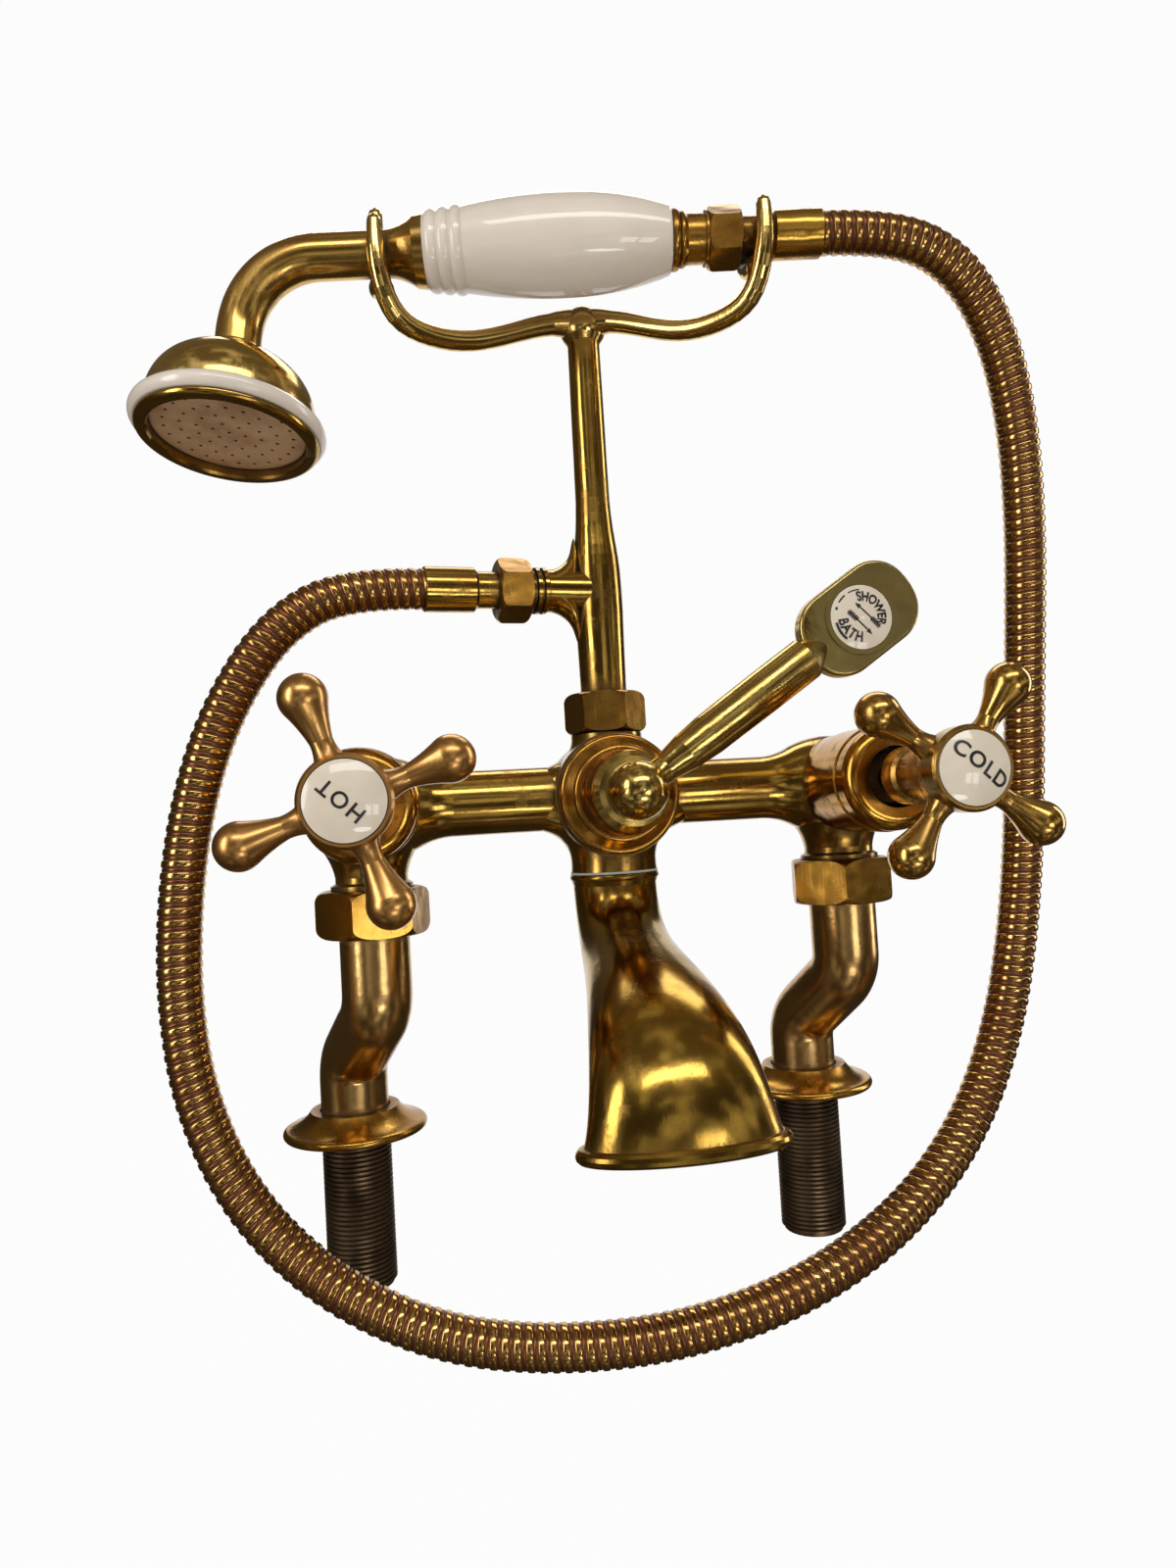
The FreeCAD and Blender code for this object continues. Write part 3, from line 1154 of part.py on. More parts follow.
def grip_tube():
    """The brass tube inside the porcelain, from the neck to the connector."""
    outer = GRIP_BORE_R
    start = on_handset(GRIP_LEFT)
    return ring(outer, outer - GRIP_TUBE_WALL, GRIP_RIGHT - GRIP_LEFT, start, handset_axis())


def handset_connector():
    """The brass end of the handset: beads, a waist and the stub that the nut screws on."""
    start, nut = GRIP_RIGHT, CONNECTOR_NUT_START
    r, bead = CONNECTOR_R, CONNECTOR_BEAD_R
    bore = HOSE_NECK_BORE_R
    profile = [(bore, start), (bead, start), (bead + 0.4, start + 1.4, bead, start + 2.8),
               (bead - 1.0, start + 3.4), (bead - 0.6, start + 4.2, bead - 1.0, start + 5.2), (r, start + 6),
               (r, nut - 1.2), (r + 1.0, nut - 1.0), (r + 1.0, nut - SEAT_GAP), (HANDSET_THREAD_R, nut - SEAT_GAP),
               (HANDSET_THREAD_R, CONNECTOR_END), (bore, CONNECTOR_END)]
    return turned(profile, on_handset(0), handset_axis())


def handset_pieces():
    origin = on_handset(0)
    axis = handset_axis()
    keep("handset_neck", handset_neck())
    keep("rose_bell", rose_bell())
    keep("rose_ring", rose_ring())
    keep("rose_rim", rose_rim())
    keep("rose_plate", rose_plate())
    keep("porcelain_grip", porcelain_grip())
    keep("grip_tube", grip_tube())
    keep("handset_connector", handset_connector())
    keep("handset_nut", hose_nut(origin, axis, CONNECTOR_NUT_START, HANDSET_NUT_LENGTH, HANDSET_NUT_FLATS,
                                 CONNECTOR_END, HANDSET_NUT_TURN))
    keep("handset_washer", ring(HANDSET_THREAD_R - RUN_GAP, HOSE_NECK_BORE_R, HOSE_WASHER,
                                origin + axis * CONNECTOR_END, axis))
    keep("handset_ferrule", hose_fitting(origin, axis, CONNECTOR_END, HANDSET_FERRULE_START,
                                         HANDSET_FERRULE_END))


def hose_points():
    """Every point of the hose's route, with straight ends along both ferrules."""
    first = V(0, 0, OUTLET_Z) + outlet_axis() * OUTLET_FERRULE_END
    last = on_handset(HANDSET_FERRULE_END)
    lead = HOSE_LEAD
    route = [V(*point) for point in HOSE_ROUTE]
    return [first, first + outlet_axis() * lead] + route + [last + handset_axis() * lead, last]


def hose_path():
    """Straight runs joined by tangent arcs, and the arcs' radii."""
    points = hose_points()
    pieces, radii = [], []
    at = points[0]
    for before, corner, after in zip(points, points[1:], points[2:]):
        into = (corner - before).normalize()
        away = (after - corner).normalize()
        turn = into.getAngle(away)
        setback = 0.45 * min((corner - before).Length, (after - corner).Length)
        radius = setback / math.tan(turn / 2)
        start, end = corner - into * setback, corner + away * setback
        centre_way = (away - into).normalize()
        middle = corner + centre_way * (radius / math.cos(turn / 2) - radius)
        pieces.append(Part.LineSegment(at, start))
        pieces.append(Part.Arc(start, middle, end))
        radii.append(radius)
        at = end
    pieces.append(Part.LineSegment(at, points[-1]))
    return pieces, radii


def hose_station(pieces, lengths, along):
    """The point and direction at a distance along the hose's path."""
    for piece, length in zip(pieces, lengths):
        if along <= length or piece is pieces[-1]:
            u = piece.FirstParameter + along / length * (piece.LastParameter - piece.FirstParameter)
            return piece.value(u), V(*piece.tangent(u)[0])
        along -= length
    return None


def hose_circle(point, direction, radius):
    """A circle across the hose whose X axis keeps to one side all the way."""
    side = V(0, 1, 0)
    x_axis = (side - direction * side.dot(direction)).normalize()
    circle = Part.Circle(point, direction, radius)
    circle.XAxis = x_axis
    return Part.Wire(circle.toShape())


def hose():
    """The ribbed hose with its bore, straight for one diameter at both ends."""
    pieces, radii = hose_path()
    lengths = [piece.length() for piece in pieces]
    total = sum(lengths)
    end = 2 * HOSE_R
    pitch = (total - 2 * end) / HOSE_RIBS
    outer = [(0, HOSE_ROOT_R)]
    for i in range(HOSE_RIBS):
        low = end + i * pitch
        outer += [(low + 0.06 * pitch, HOSE_ROOT_R), (low + 0.24 * pitch, HOSE_R),
                  (low + 0.66 * pitch, HOSE_R), (low + 0.84 * pitch, HOSE_ROOT_R)]
    outer.append((total, HOSE_ROOT_R))
    inner_count = 2 * HOSE_RIBS
    inner = [(total * i / inner_count, HOSE_BORE_R) for i in range(inner_count + 1)]
    inner = [(-1.0, HOSE_BORE_R)] + inner + [(total + 1.0, HOSE_BORE_R)]
    solids = []
    for rings in (outer, inner):
        wires = []
        for along, radius in rings:
            point, direction = hose_station(pieces, lengths, along)
            wires.append(hose_circle(point, direction, radius))
        solids.append(Part.makeLoft(wires, True, True))
    solid = solids[0].cut(solids[1])
    mean = (HOSE_ROOT_R + HOSE_R) / 2
    section = math.pi * (mean ** 2 - HOSE_BORE_R ** 2)
    print("hose length", round(total, 1), "radii", [round(r) for r in radii])
    print("hose volume", round(solid.Volume), "section times length", round(section * total))
    print("hose ribs", HOSE_RIBS, "pitch", round(pitch, 2), "least gap to itself", round(hose_self_gap(pieces, lengths), 1))
    return solid


def hose_self_gap(pieces, lengths):
    """The least distance between parts of the hose that lie apart along its length."""
    total = sum(lengths)
    step = 2 * HOSE_R
    count = int(total / step)
    points = [hose_station(pieces, lengths, i * step)[0] for i in range(count + 1)]
    least = total
    for i, point in enumerate(points):
        for other in points[i + 6:]:
            least = min(least, point.distanceToPoint(other) - 2 * HOSE_R)
    return least


def main():
    keep("mixer_body", mixer_body())
    for side, name in ((-1, "hot"), (1, "cold")):
        keep(name + "_cranked_union", cranked_union(side))
        keep(name + "_flange", flange(side))
        keep(name + "_union_nut", union_nut(side))
        keep(name + "_union_washer", union_washer(side))
        keep(name + "_headwork", headwork(side))
        keep(name + "_gland_nut", gland_nut(side))
        keep(name + "_spindle", spindle(side))
        keep(name + "_jumper", jumper(side))
        keep(name + "_jumper_washer", jumper_washer(side))
        keep(name + "_handle", handle(side))
        keep(name + "_index", index(side))
        keep(name + "_handle_screw", handle_screw(side))
    keep("diverter_bonnet", diverter_bonnet())
    keep("diverter_gland", diverter_gland())
    keep("diverter_spindle", diverter_spindle())
    keep("diverter_shuttle", diverter_shuttle())
    keep("shuttle_washers", shuttle_washers())
    keep("diverter_lever", diverter_lever())
    keep("diverter_index", diverter_index())
    keep("spout", spout())
    keep("spout_seal", spout_seal())
    keep("riser_column", riser_column())
    keep("riser_nut", riser_nut())
    keep("riser_washer", riser_washer())
    outlet_pieces()
    keep("cradle", cradle())
    handset_pieces()
    keep("hose", hose())
    os.makedirs("parts", exist_ok=True)
    origin = (tail_axis(-1) + tail_axis(1)) / 2
    for name, shape in parts.items():
        shape = shape.copy()
        shape.translate(origin * -1)
        shape.exportStep("parts/" + name + ".step")
        box = shape.BoundBox
        print(name, shape.ShapeType, len(shape.Solids), "solids", round(shape.Volume), "mm3",
              [round(v, 1) for v in (box.XMin, box.XMax, box.YMin, box.YMax, box.ZMin, box.ZMax)])


main()
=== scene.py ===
import json
import math
from bisect import bisect_right
import bmesh
import bpy
from mathutils import Matrix, Vector


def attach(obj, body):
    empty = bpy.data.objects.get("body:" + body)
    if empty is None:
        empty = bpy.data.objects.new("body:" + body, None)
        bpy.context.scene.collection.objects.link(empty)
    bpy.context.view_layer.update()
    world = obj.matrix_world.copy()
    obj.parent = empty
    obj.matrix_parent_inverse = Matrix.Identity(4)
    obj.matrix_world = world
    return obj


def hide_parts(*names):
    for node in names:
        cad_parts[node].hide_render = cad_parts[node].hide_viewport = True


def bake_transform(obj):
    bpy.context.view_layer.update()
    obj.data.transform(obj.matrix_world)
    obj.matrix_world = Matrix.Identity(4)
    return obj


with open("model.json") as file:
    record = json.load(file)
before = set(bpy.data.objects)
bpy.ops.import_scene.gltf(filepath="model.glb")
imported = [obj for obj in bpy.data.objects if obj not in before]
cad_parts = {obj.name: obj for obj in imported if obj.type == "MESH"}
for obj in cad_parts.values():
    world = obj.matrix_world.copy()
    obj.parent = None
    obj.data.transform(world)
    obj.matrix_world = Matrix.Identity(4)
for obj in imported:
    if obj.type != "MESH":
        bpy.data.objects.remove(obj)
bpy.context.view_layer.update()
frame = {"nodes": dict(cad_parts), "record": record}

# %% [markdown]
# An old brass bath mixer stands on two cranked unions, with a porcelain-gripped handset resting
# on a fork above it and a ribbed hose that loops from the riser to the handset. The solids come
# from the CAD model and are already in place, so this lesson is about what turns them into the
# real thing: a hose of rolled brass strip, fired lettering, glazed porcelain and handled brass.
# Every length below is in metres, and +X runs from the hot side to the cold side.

nodes = frame["nodes"]

# %% [markdown]
# The CAD model's numbers are in millimetres about the riser's axis. One small function turns
# them into the frame's metres, so that a number here reads the same as the one in the CAD model.

# %% From the riser's millimetres to the frame
RISER = Vector((0.01203, -0.02361, 0))
MM = 0.001
VALVE_AXIS_UP = 125.0


def spot(x, y, z):
    """A point given in millimetres from the riser's axis, with forwards as -Y."""
    return RISER + Vector((x, y, z)) * MM


print("riser's foot", [round(v, 4) for v in spot(0, 0, 0)])

# %% [markdown]
# The camera comes first, because every later choice is judged through it. The picture looks taken
# by a phone held close, a little to the left and level with the valves, so the lens is wide. A
# camera matrix is built from three plain turns: to the right, up, and a roll about the lens.

# %% The camera where the phone was
LENS_PIXELS = 1030.0
PICTURE_HEIGHT = 1600.0
CENTRE_DROP = 5.0


def phone_camera(place, right_turn, up_turn, roll):
    data = bpy.data.cameras.new("phone_camera")
    camera = bpy.data.objects.new("phone_camera", data)
    bpy.context.scene.collection.objects.link(camera)
    yaw, pitch, lean = (math.radians(v) for v in (right_turn, up_turn, roll))
    ahead = Vector((math.sin(yaw) * math.cos(pitch), math.cos(yaw) * math.cos(pitch), math.sin(pitch)))
    level = Vector((math.cos(yaw), -math.sin(yaw), 0))
    above = level.cross(ahead)
    side = level * math.cos(lean) - above * math.sin(lean)
    top = level * math.sin(lean) + above * math.cos(lean)
    camera.matrix_world = Matrix.Translation(place) @ Matrix((side, top, -ahead)).transposed().to_4x4()
    data.sensor_width = 36.0
    data.lens = LENS_PIXELS * data.sensor_width / PICTURE_HEIGHT
    data.shift_y = -CENTRE_DROP / PICTURE_HEIGHT
    data.clip_start = 0.01
    bpy.context.scene.camera = camera
    return camera


camera = phone_camera(spot(-69.8, -388.9, 116.0), 9.0, 2.32, 3.3)
print("lens", round(camera.data.lens, 2), "mm")

# %% [markdown]
# Shader nodes are wired one by one in Blender, and sums made of them are hard to read. This
# class wraps an output so that Python's own signs add the Math nodes, and `Finish.node` makes
# any other node: its settings first, then the values or links of its sockets.

# %% Shader sums in plain Python
class Value:
    def __init__(self, finish, socket):
        self.finish = finish
        self.socket = socket

    def _math(self, operation, *values):
        return self.finish.node("Math", {"operation": operation}, dict(enumerate(values)))

    def __add__(self, other):
        return self._math("ADD", self, other)

    def __sub__(self, other):
        return self._math("SUBTRACT", self, other)

    def __rsub__(self, other):
        return self._math("SUBTRACT", other, self)

    def __mul__(self, other):
        return self._math("MULTIPLY", self, other)

    def clamped(self):
        return self.finish.node("Clamp", {}, {"Value": self})

    __radd__ = __add__
    __rmul__ = __mul__


class Finish:
    """A material under construction, or the world's own when it is asked for."""

    def __init__(self, name, world=False):
        self.material = (bpy.data.worlds if world else bpy.data.materials).new(name)
        self.material.use_nodes = True
        self.tree = self.material.node_tree
        self.tree.nodes.clear()
        output = self.tree.nodes.new("ShaderNodeOutputWorld" if world else "ShaderNodeOutputMaterial")
        self.surface = output.inputs["Surface"]

    def node(self, kind, settings, sockets, output=0):
        made = self.tree.nodes.new("ShaderNode" + kind)
        for name, value in settings.items():
            setattr(made, name, value)
        for name, value in sockets.items():
            if isinstance(value, Value):
                self.tree.links.new(value.socket, made.inputs[name])
            else:
                made.inputs[name].default_value = value
        return Value(self, made.outputs[output])

    def place(self):
        return self.node("TexCoord", {}, {}, "Object")

    def in_view(self):
        """One for the camera's rays and those that metal or glass sends on, zero for the rest."""
        camera, glossy, glass = [self.node("LightPath", {}, {}, "Is " + kind + " Ray")
                                 for kind in ("Camera", "Glossy", "Transmission")]
        return (camera + glossy + glass).clamped()

    def noise(self, scale, detail=3.0, roughness=0.5, stretch=None):
        where = self.place()
        if stretch:
            where = self.node("Mapping", {}, {"Vector": where, "Scale": stretch})
        return self.node("TexNoise", {}, {"Vector": where, "Scale": scale, "Detail": detail,
                                          "Roughness": roughness}, 0)

    def band(self, value, low, high):
        """Zero below low, one above high, and smooth between them."""
        return self.node("MapRange", {"interpolation_type": "SMOOTHSTEP"},
                         {"Value": value, "From Min": low, "From Max": high}, 0)

    def mix(self, share, first, second):
        return self.node("MixRGB", {}, {"Fac": share, "Color1": first, "Color2": second})

    def bump(self, height, depth, strength):
        return self.node("Bump", {}, {"Height": height, "Distance": depth, "Strength": strength})

    def close(self, shader):
        self.tree.links.new(shader.socket, self.surface)
        return self.material

    def principled(self, sockets):
        return self.close(self.node("BsdfPrincipled", {}, sockets))


def rgba(red, green, blue):
    """A colour as it reads on the screen, from 0 to 255, in Blender's linear numbers."""
    linear = [(v / 255 / 12.92) if v < 10.3 else ((v / 255 + 0.055) / 1.055) ** 2.4
              for v in (red, green, blue)]
    return (*linear, 1.0)


print("a mid brass is", [round(v, 2) for v in rgba(190, 150, 75)])

# %% [markdown]
# The mixer was photographed on plain white, so it hangs in front of a white sweep: a floor far
# below it that curves up into a backdrop, with no corner to catch a line. What the camera,
# polished brass or the glaze sees of it is nearly all plain white, so hardly any shadow shows.

# %% A white sweep behind the mixer
FLOOR_DROP = -2.1
PAPER_WHITE_SHARE = 0.95


def white_sweep(half_width, front, back, top, curve):
    profile = [(front, FLOOR_DROP), (back - curve, FLOOR_DROP)]
    for step in range(1, 16):
        angle = math.radians(step * 6)
        profile.append((back - curve + curve * math.sin(angle), FLOOR_DROP + curve * (1 - math.cos(angle))))
    profile.append((back, top))
    corners = [(side, y, z) for y, z in profile for side in (-half_width, half_width)]
    faces = [(2 * i, 2 * i + 1, 2 * i + 3, 2 * i + 2) for i in range(len(profile) - 1)]
    mesh = bpy.data.meshes.new("white_sweep")
    mesh.from_pydata(corners, [], faces)
    mesh.polygons.foreach_set("use_smooth", [True] * len(faces))
    sweep = bpy.data.objects.new("white_sweep", mesh)
    bpy.context.scene.collection.objects.link(sweep)
    return sweep


paper = Finish("white_paper")
share = paper.in_view() * PAPER_WHITE_SHARE
matt = paper.node("BsdfDiffuse", {}, {"Color": rgba(240, 240, 240)})
glow = paper.node("Emission", {}, {"Color": (1, 1, 1, 1), "Strength": 1.0})
paper.close(paper.node("MixShader", {}, {"Fac": share, 1: matt, 2: glow}))
sweep = white_sweep(7.0, -4.5, 3.2, 6.0, 1.6)
sweep.data.materials.append(paper.material)
print("sweep", len(sweep.data.polygons), "faces")

# %% [markdown]
# Polished brass shows what stands round it. The photograph's highlights tell where its light came
# from: a tall lamp on the left lights the upright pipes, a strip above lights the level ones, and
# a small window of two panes on the right shows in the porcelain, with a faint glow below it.
# Two more lamps, at the right edge and behind, lift the far sides.

# %% Soft lamps
AIM = Vector((0.0, -0.03, 0.14))


def soft_lamp(name, place, shape, width, height, watts):
    data = bpy.data.lights.new(name, "AREA")
    data.shape = shape
    data.size, data.size_y = width, height
    data.energy = watts
    lamp = bpy.data.objects.new(name, data)
    bpy.context.scene.collection.objects.link(lamp)
    lamp.location = place
    lamp.rotation_euler = (AIM - Vector(place)).to_track_quat("-Z", "Y").to_euler()
    return lamp


soft_lamp("left_lamp", (-1.35, -0.85, 0.5), "ELLIPSE", 0.5, 1.4, 8.0)
soft_lamp("upper_strip", (0.1, -1.25, 1.25), "RECTANGLE", 1.5, 0.3, 7.0)
soft_lamp("left_pane", (0.33, -1.02, -0.06), "RECTANGLE", 0.13, 0.22, 0.36)
soft_lamp("right_pane", (0.48, -0.96, -0.06), "RECTANGLE", 0.13, 0.22, 0.36)
soft_lamp("low_glow", (0.16, -0.85, -0.40), "ELLIPSE", 0.34, 0.10, 0.6)
soft_lamp("right_edge", (1.3, 0.1, 0.4), "RECTANGLE", 0.3, 1.2, 4.0)
soft_lamp("back_panel", (0.3, 0.9, 1.5), "RECTANGLE", 1.6, 0.5, 7.0)
room = Finish("plain_room", world=True)
dim = room.node("Background", {}, {"Color": (0.50, 0.47, 0.43, 1), "Strength": 1.0})
white = room.node("Background", {}, {"Color": (1, 1, 1, 1), "Strength": 0.98})
bpy.context.scene.world = room.close(room.node("MixShader", {}, {"Fac": room.in_view(), 1: dim, 2: white}))
bpy.context.scene.view_settings.view_transform = "Standard"

# %% [markdown]
# A brass curve is read by how its reflections change along it, and nothing but white paper round
# it would leave it pale and flat. Photographers stand dark cards round polished metal, just out
# of the picture. Here they are one round shell of cards: dim and brown with paler uneven patches,
# open behind the mixer, and shown in reflections only, so that the backdrop stays white.

# %% Dark cards round the brass
CARDS_RADIUS = 2.0
CARDS_OPEN_WAY = Vector((0.16, 1, 0.04))
CARDS_OPEN_ANGLE = 30
CARD_DIM, CARD_PALE, CARD_BRIGHT, CARD_HIGH = 0.045, 0.25, 0.33, 0.09


def ring_of_cards(radius, open_way, open_angle):
    rows, sides = 30, 60
    ways = [Vector((math.cos(up) * math.cos(turn), math.cos(up) * math.sin(turn), math.sin(up)))
            for up in [math.pi * (row / rows - 0.5) for row in range(rows + 1)]
            for turn in [2 * math.pi * side / sides for side in range(sides)]]
    faces = []
    for row in range(rows):
        for side in range(sides):
            corner, other = row * sides + side, row * sides + (side + 1) % sides
            if (ways[corner] + ways[other + sides]).angle(open_way) > math.radians(open_angle):
                faces.append((corner, other, other + sides, corner + sides))
    mesh = bpy.data.meshes.new("dark_cards")
    mesh.from_pydata([way * radius for way in ways], [], faces)
    cards = bpy.data.objects.new("dark_cards", mesh)
    bpy.context.scene.collection.objects.link(cards)
    cards.location = AIM
    return cards


card = Finish("dark_card")
where = card.node("Mapping", {}, {"Vector": card.place(), "Scale": (1.0, 1.0, 1.5)})
front = card.band(card.node("SeparateXYZ", {}, {"Vector": card.place()}, "Y") * -1, -0.4, 1.0)
high = card.band(card.node("SeparateXYZ", {}, {"Vector": card.place()}, "Z"), 0.4, 1.4)
cloud = card.node("TexNoise", {}, {"Vector": where, "Scale": 1.7, "Detail": 4.0, "Roughness": 0.45}, 0)
pale = card.band(cloud, 0.49, 0.55) * front
bright = card.band(cloud, 0.57, 0.62) * front
tint = card.mix(pale, (1.0, 0.80, 0.53, 1), (1.0, 0.95, 0.87, 1))
level = CARD_DIM + pale * CARD_PALE + bright * CARD_BRIGHT + high * CARD_HIGH
glow = card.mix(level, (0, 0, 0, 1), tint)
cards = ring_of_cards(CARDS_RADIUS, CARDS_OPEN_WAY, CARDS_OPEN_ANGLE)
cards.data.materials.append(card.close(card.node("Emission", {}, {"Color": glow, "Strength": 1.0})))
card.material.cycles.emission_sampling = "NONE"
for ray in ("camera", "diffuse", "transmission", "volume_scatter", "shadow"):
    setattr(cards, "visible_" + ray, False)
print("cards", len(cards.data.polygons), "faces")

# %% [markdown]
# The hose is a strip of brass rolled into rings round a soft liner. It hangs in one wide loop,
# held by the outlet on the riser and by the handset. A NURBS curve through the route's points
# gives a line with no kinks, and the rings are set along that line.

# %% The hose's line
OUTLET_TURN = math.radians(9.0)
HANDSET_TURN = math.radians(8.0)
OUTLET = Vector((-math.cos(OUTLET_TURN), -math.sin(OUTLET_TURN), 0))
HANDSET = Vector((math.cos(HANDSET_TURN), -math.sin(HANDSET_TURN), 0))
HOSE_START = spot(0, 0, 205.5) + OUTLET * 69.0 * MM
HOSE_END = spot(0, -30, 328.5) + HANDSET * 85.0 * MM
HOSE_LEAD = 28.7 * MM
HOSE_ROUTE = [
    (-120.5, -15.5, 192.5), (-138.5, -15.0, 167.0), (-150.5, -15.0, 137.0), (-157.5, -15.0, 101.0),
    (-159.5, -15.5, 62.0), (-154.5, -18.0, 25.0), (-139.0, -22.5, -9.5), (-112.0, -28.0, -37.5),
    (-76.0, -35.0, -56.0), (-36.0, -41.0, -62.5), (9.0, -45.0, -61.5), (55.0, -43.5, -51.5),
    (95.0, -36.5, -33.5), (125.5, -28.0, -8.0), (146.0, -21.5, 26.0), (157.0, -19.0, 64.5),
    (162.5, -19.0, 103.0), (165.0, -20.5, 144.0), (166.5, -24.0, 184.0), (166.5, -29.0, 222.0),
    (163.0, -34.5, 259.0), (154.5, -39.5, 291.5), (138.0, -44.5, 316.0),
]


def hose_line():
    """The points of the smooth line that the hose's middle follows."""
    route = [spot(*point) for point in HOSE_ROUTE]
    route = [HOSE_START, HOSE_START + OUTLET * HOSE_LEAD] + route + [HOSE_END + HANDSET * HOSE_LEAD, HOSE_END]
    data = bpy.data.curves.new("hose_line", "CURVE")
    data.dimensions = "3D"
    data.resolution_u = 24
    spline = data.splines.new("NURBS")
    spline.points.add(len(route) - 1)
    for corner, point in zip(spline.points, route):
        corner.co = (*point, 1.0)
    spline.order_u = 3
    spline.use_endpoint_u = True
    curve = bpy.data.objects.new("hose_line", data)
    mesh = bpy.data.meshes.new_from_object(curve)
    line = [vertex.co.copy() for vertex in mesh.vertices]
    bpy.data.objects.remove(curve)
    bpy.data.meshes.remove(mesh)
    return line


line = hose_line()
HOSE_LENGTH = sum((b - a).length for a, b in zip(line, line[1:]))
print("hose points", len(line), "length", round(HOSE_LENGTH, 3))

# %% [markdown]
# Each turn of the strip has a broad rounded brass crown, a thin seam at both sides of it that is
# darkened with painted shade, and a narrower coppery band sunk between two crowns. The strip winds
# on, so going once round the hose moves along it by one turn, and its seams slant a little. One
# turn is a short profile of places and radii, and values stored with it tell the shader which part
# of the turn it is on: the copper band, and how much painted shade its seam gets.

# %% The hose's rolled turns
HOSE_TURNS = 236
HOSE_SIDES = 26
HOSE_CROWN = 7.75
# Each entry: place along the turn, radius in mm, copper band, and the share of painted shade at the seam.
TURN_PROFILE = [
    (0.00, 7.00, 0.0, 1.0), (0.04, 7.42, 0.0, 0.3), (0.10, 7.65, 0.0, 0.0), (0.20, 7.73, 0.0, 0.0),
    (0.34, HOSE_CROWN, 0.0, 0.0), (0.47, 7.73, 0.0, 0.0), (0.57, 7.65, 0.0, 0.0), (0.63, 7.40, 0.0, 0.3),
    (0.66, 7.00, 1.0, 1.0), (0.71, 7.28, 1.0, 0.2), (0.83, 7.34, 1.0, 0.0), (0.95, 7.28, 1.0, 0.2),
]


class Track:
    """A line's places, directions and sideways vectors, to be read at any distance along it."""

    def __init__(self, line):
        self.line = line
        self.walked = [0.0]
        self.ahead, self.side = [], []
        side = Vector((0, 1, 0))
        for first, last in zip(line, line[1:]):
            self.walked.append(self.walked[-1] + (last - first).length)
        for i in range(len(line)):
            direction = (line[min(i + 1, len(line) - 1)] - line[max(i - 1, 0)]).normalized()
            side = (side - direction * side.dot(direction)).normalized()
            self.ahead.append(direction)
            self.side.append(side)

    def at(self, distance, angle, radius):
        """A point beside the line: how far along, at what angle round it, and how far out."""
        distance = min(max(distance, 0.0), self.walked[-1])
        i = min(bisect_right(self.walked, distance) - 1, len(self.line) - 2)
        share = (distance - self.walked[i]) / (self.walked[i + 1] - self.walked[i])
        point = self.line[i].lerp(self.line[i + 1], share)
        ahead = self.ahead[i].lerp(self.ahead[i + 1], share)
        side = self.side[i].lerp(self.side[i + 1], share)
        return point + (side * math.cos(angle) + ahead.cross(side) * math.sin(angle)) * radius


def rolled_hose():
    track = Track(line)
    pitch = HOSE_LENGTH / (HOSE_TURNS - 1)
    rings = [(turn + place, radius * MM, copper, seam_shade)
             for turn in range(-1, HOSE_TURNS) for place, radius, copper, seam_shade in TURN_PROFILE]
    sides, each_turn = HOSE_SIDES, len(TURN_PROFILE)
    corners = [track.at((place + k / sides) * pitch, 2 * math.pi * k / sides, radius)
               for place, radius, copper, seam_shade in rings for k in range(sides)]
    faces = []
    for i in range(len(rings) - each_turn - 1):
        for k in range(sides - 1):
            corner = i * sides + k
            faces.append((corner, corner + 1, corner + 1 + sides, corner + sides))
        last = i * sides + sides - 1
        faces.append((last, (i + each_turn) * sides, (i + each_turn + 1) * sides, last + sides))
    mesh = bpy.data.meshes.new("rolled_hose")
    mesh.from_pydata(corners, [], faces)
    mesh.polygons.foreach_set("use_smooth", [True] * len(faces))
    for title, slot in (("copper", 2), ("seam_shade", 3)):
        layer = mesh.attributes.new(title, "FLOAT", "POINT")
        layer.data.foreach_set("value", [ring[slot] for ring in rings for k in range(sides)])
    piece = bpy.data.objects.new("rolled_hose", mesh)
    bpy.context.scene.collection.objects.link(piece)
    return piece


hose = rolled_hose()
print("hose corners", len(hose.data.vertices))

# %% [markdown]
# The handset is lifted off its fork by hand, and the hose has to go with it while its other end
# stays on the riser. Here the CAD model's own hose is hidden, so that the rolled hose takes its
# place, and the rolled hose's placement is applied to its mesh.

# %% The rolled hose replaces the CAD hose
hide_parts("hose")
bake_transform(hose)
print("hose diameter", round(2 * HOSE_CROWN, 2), "mm")
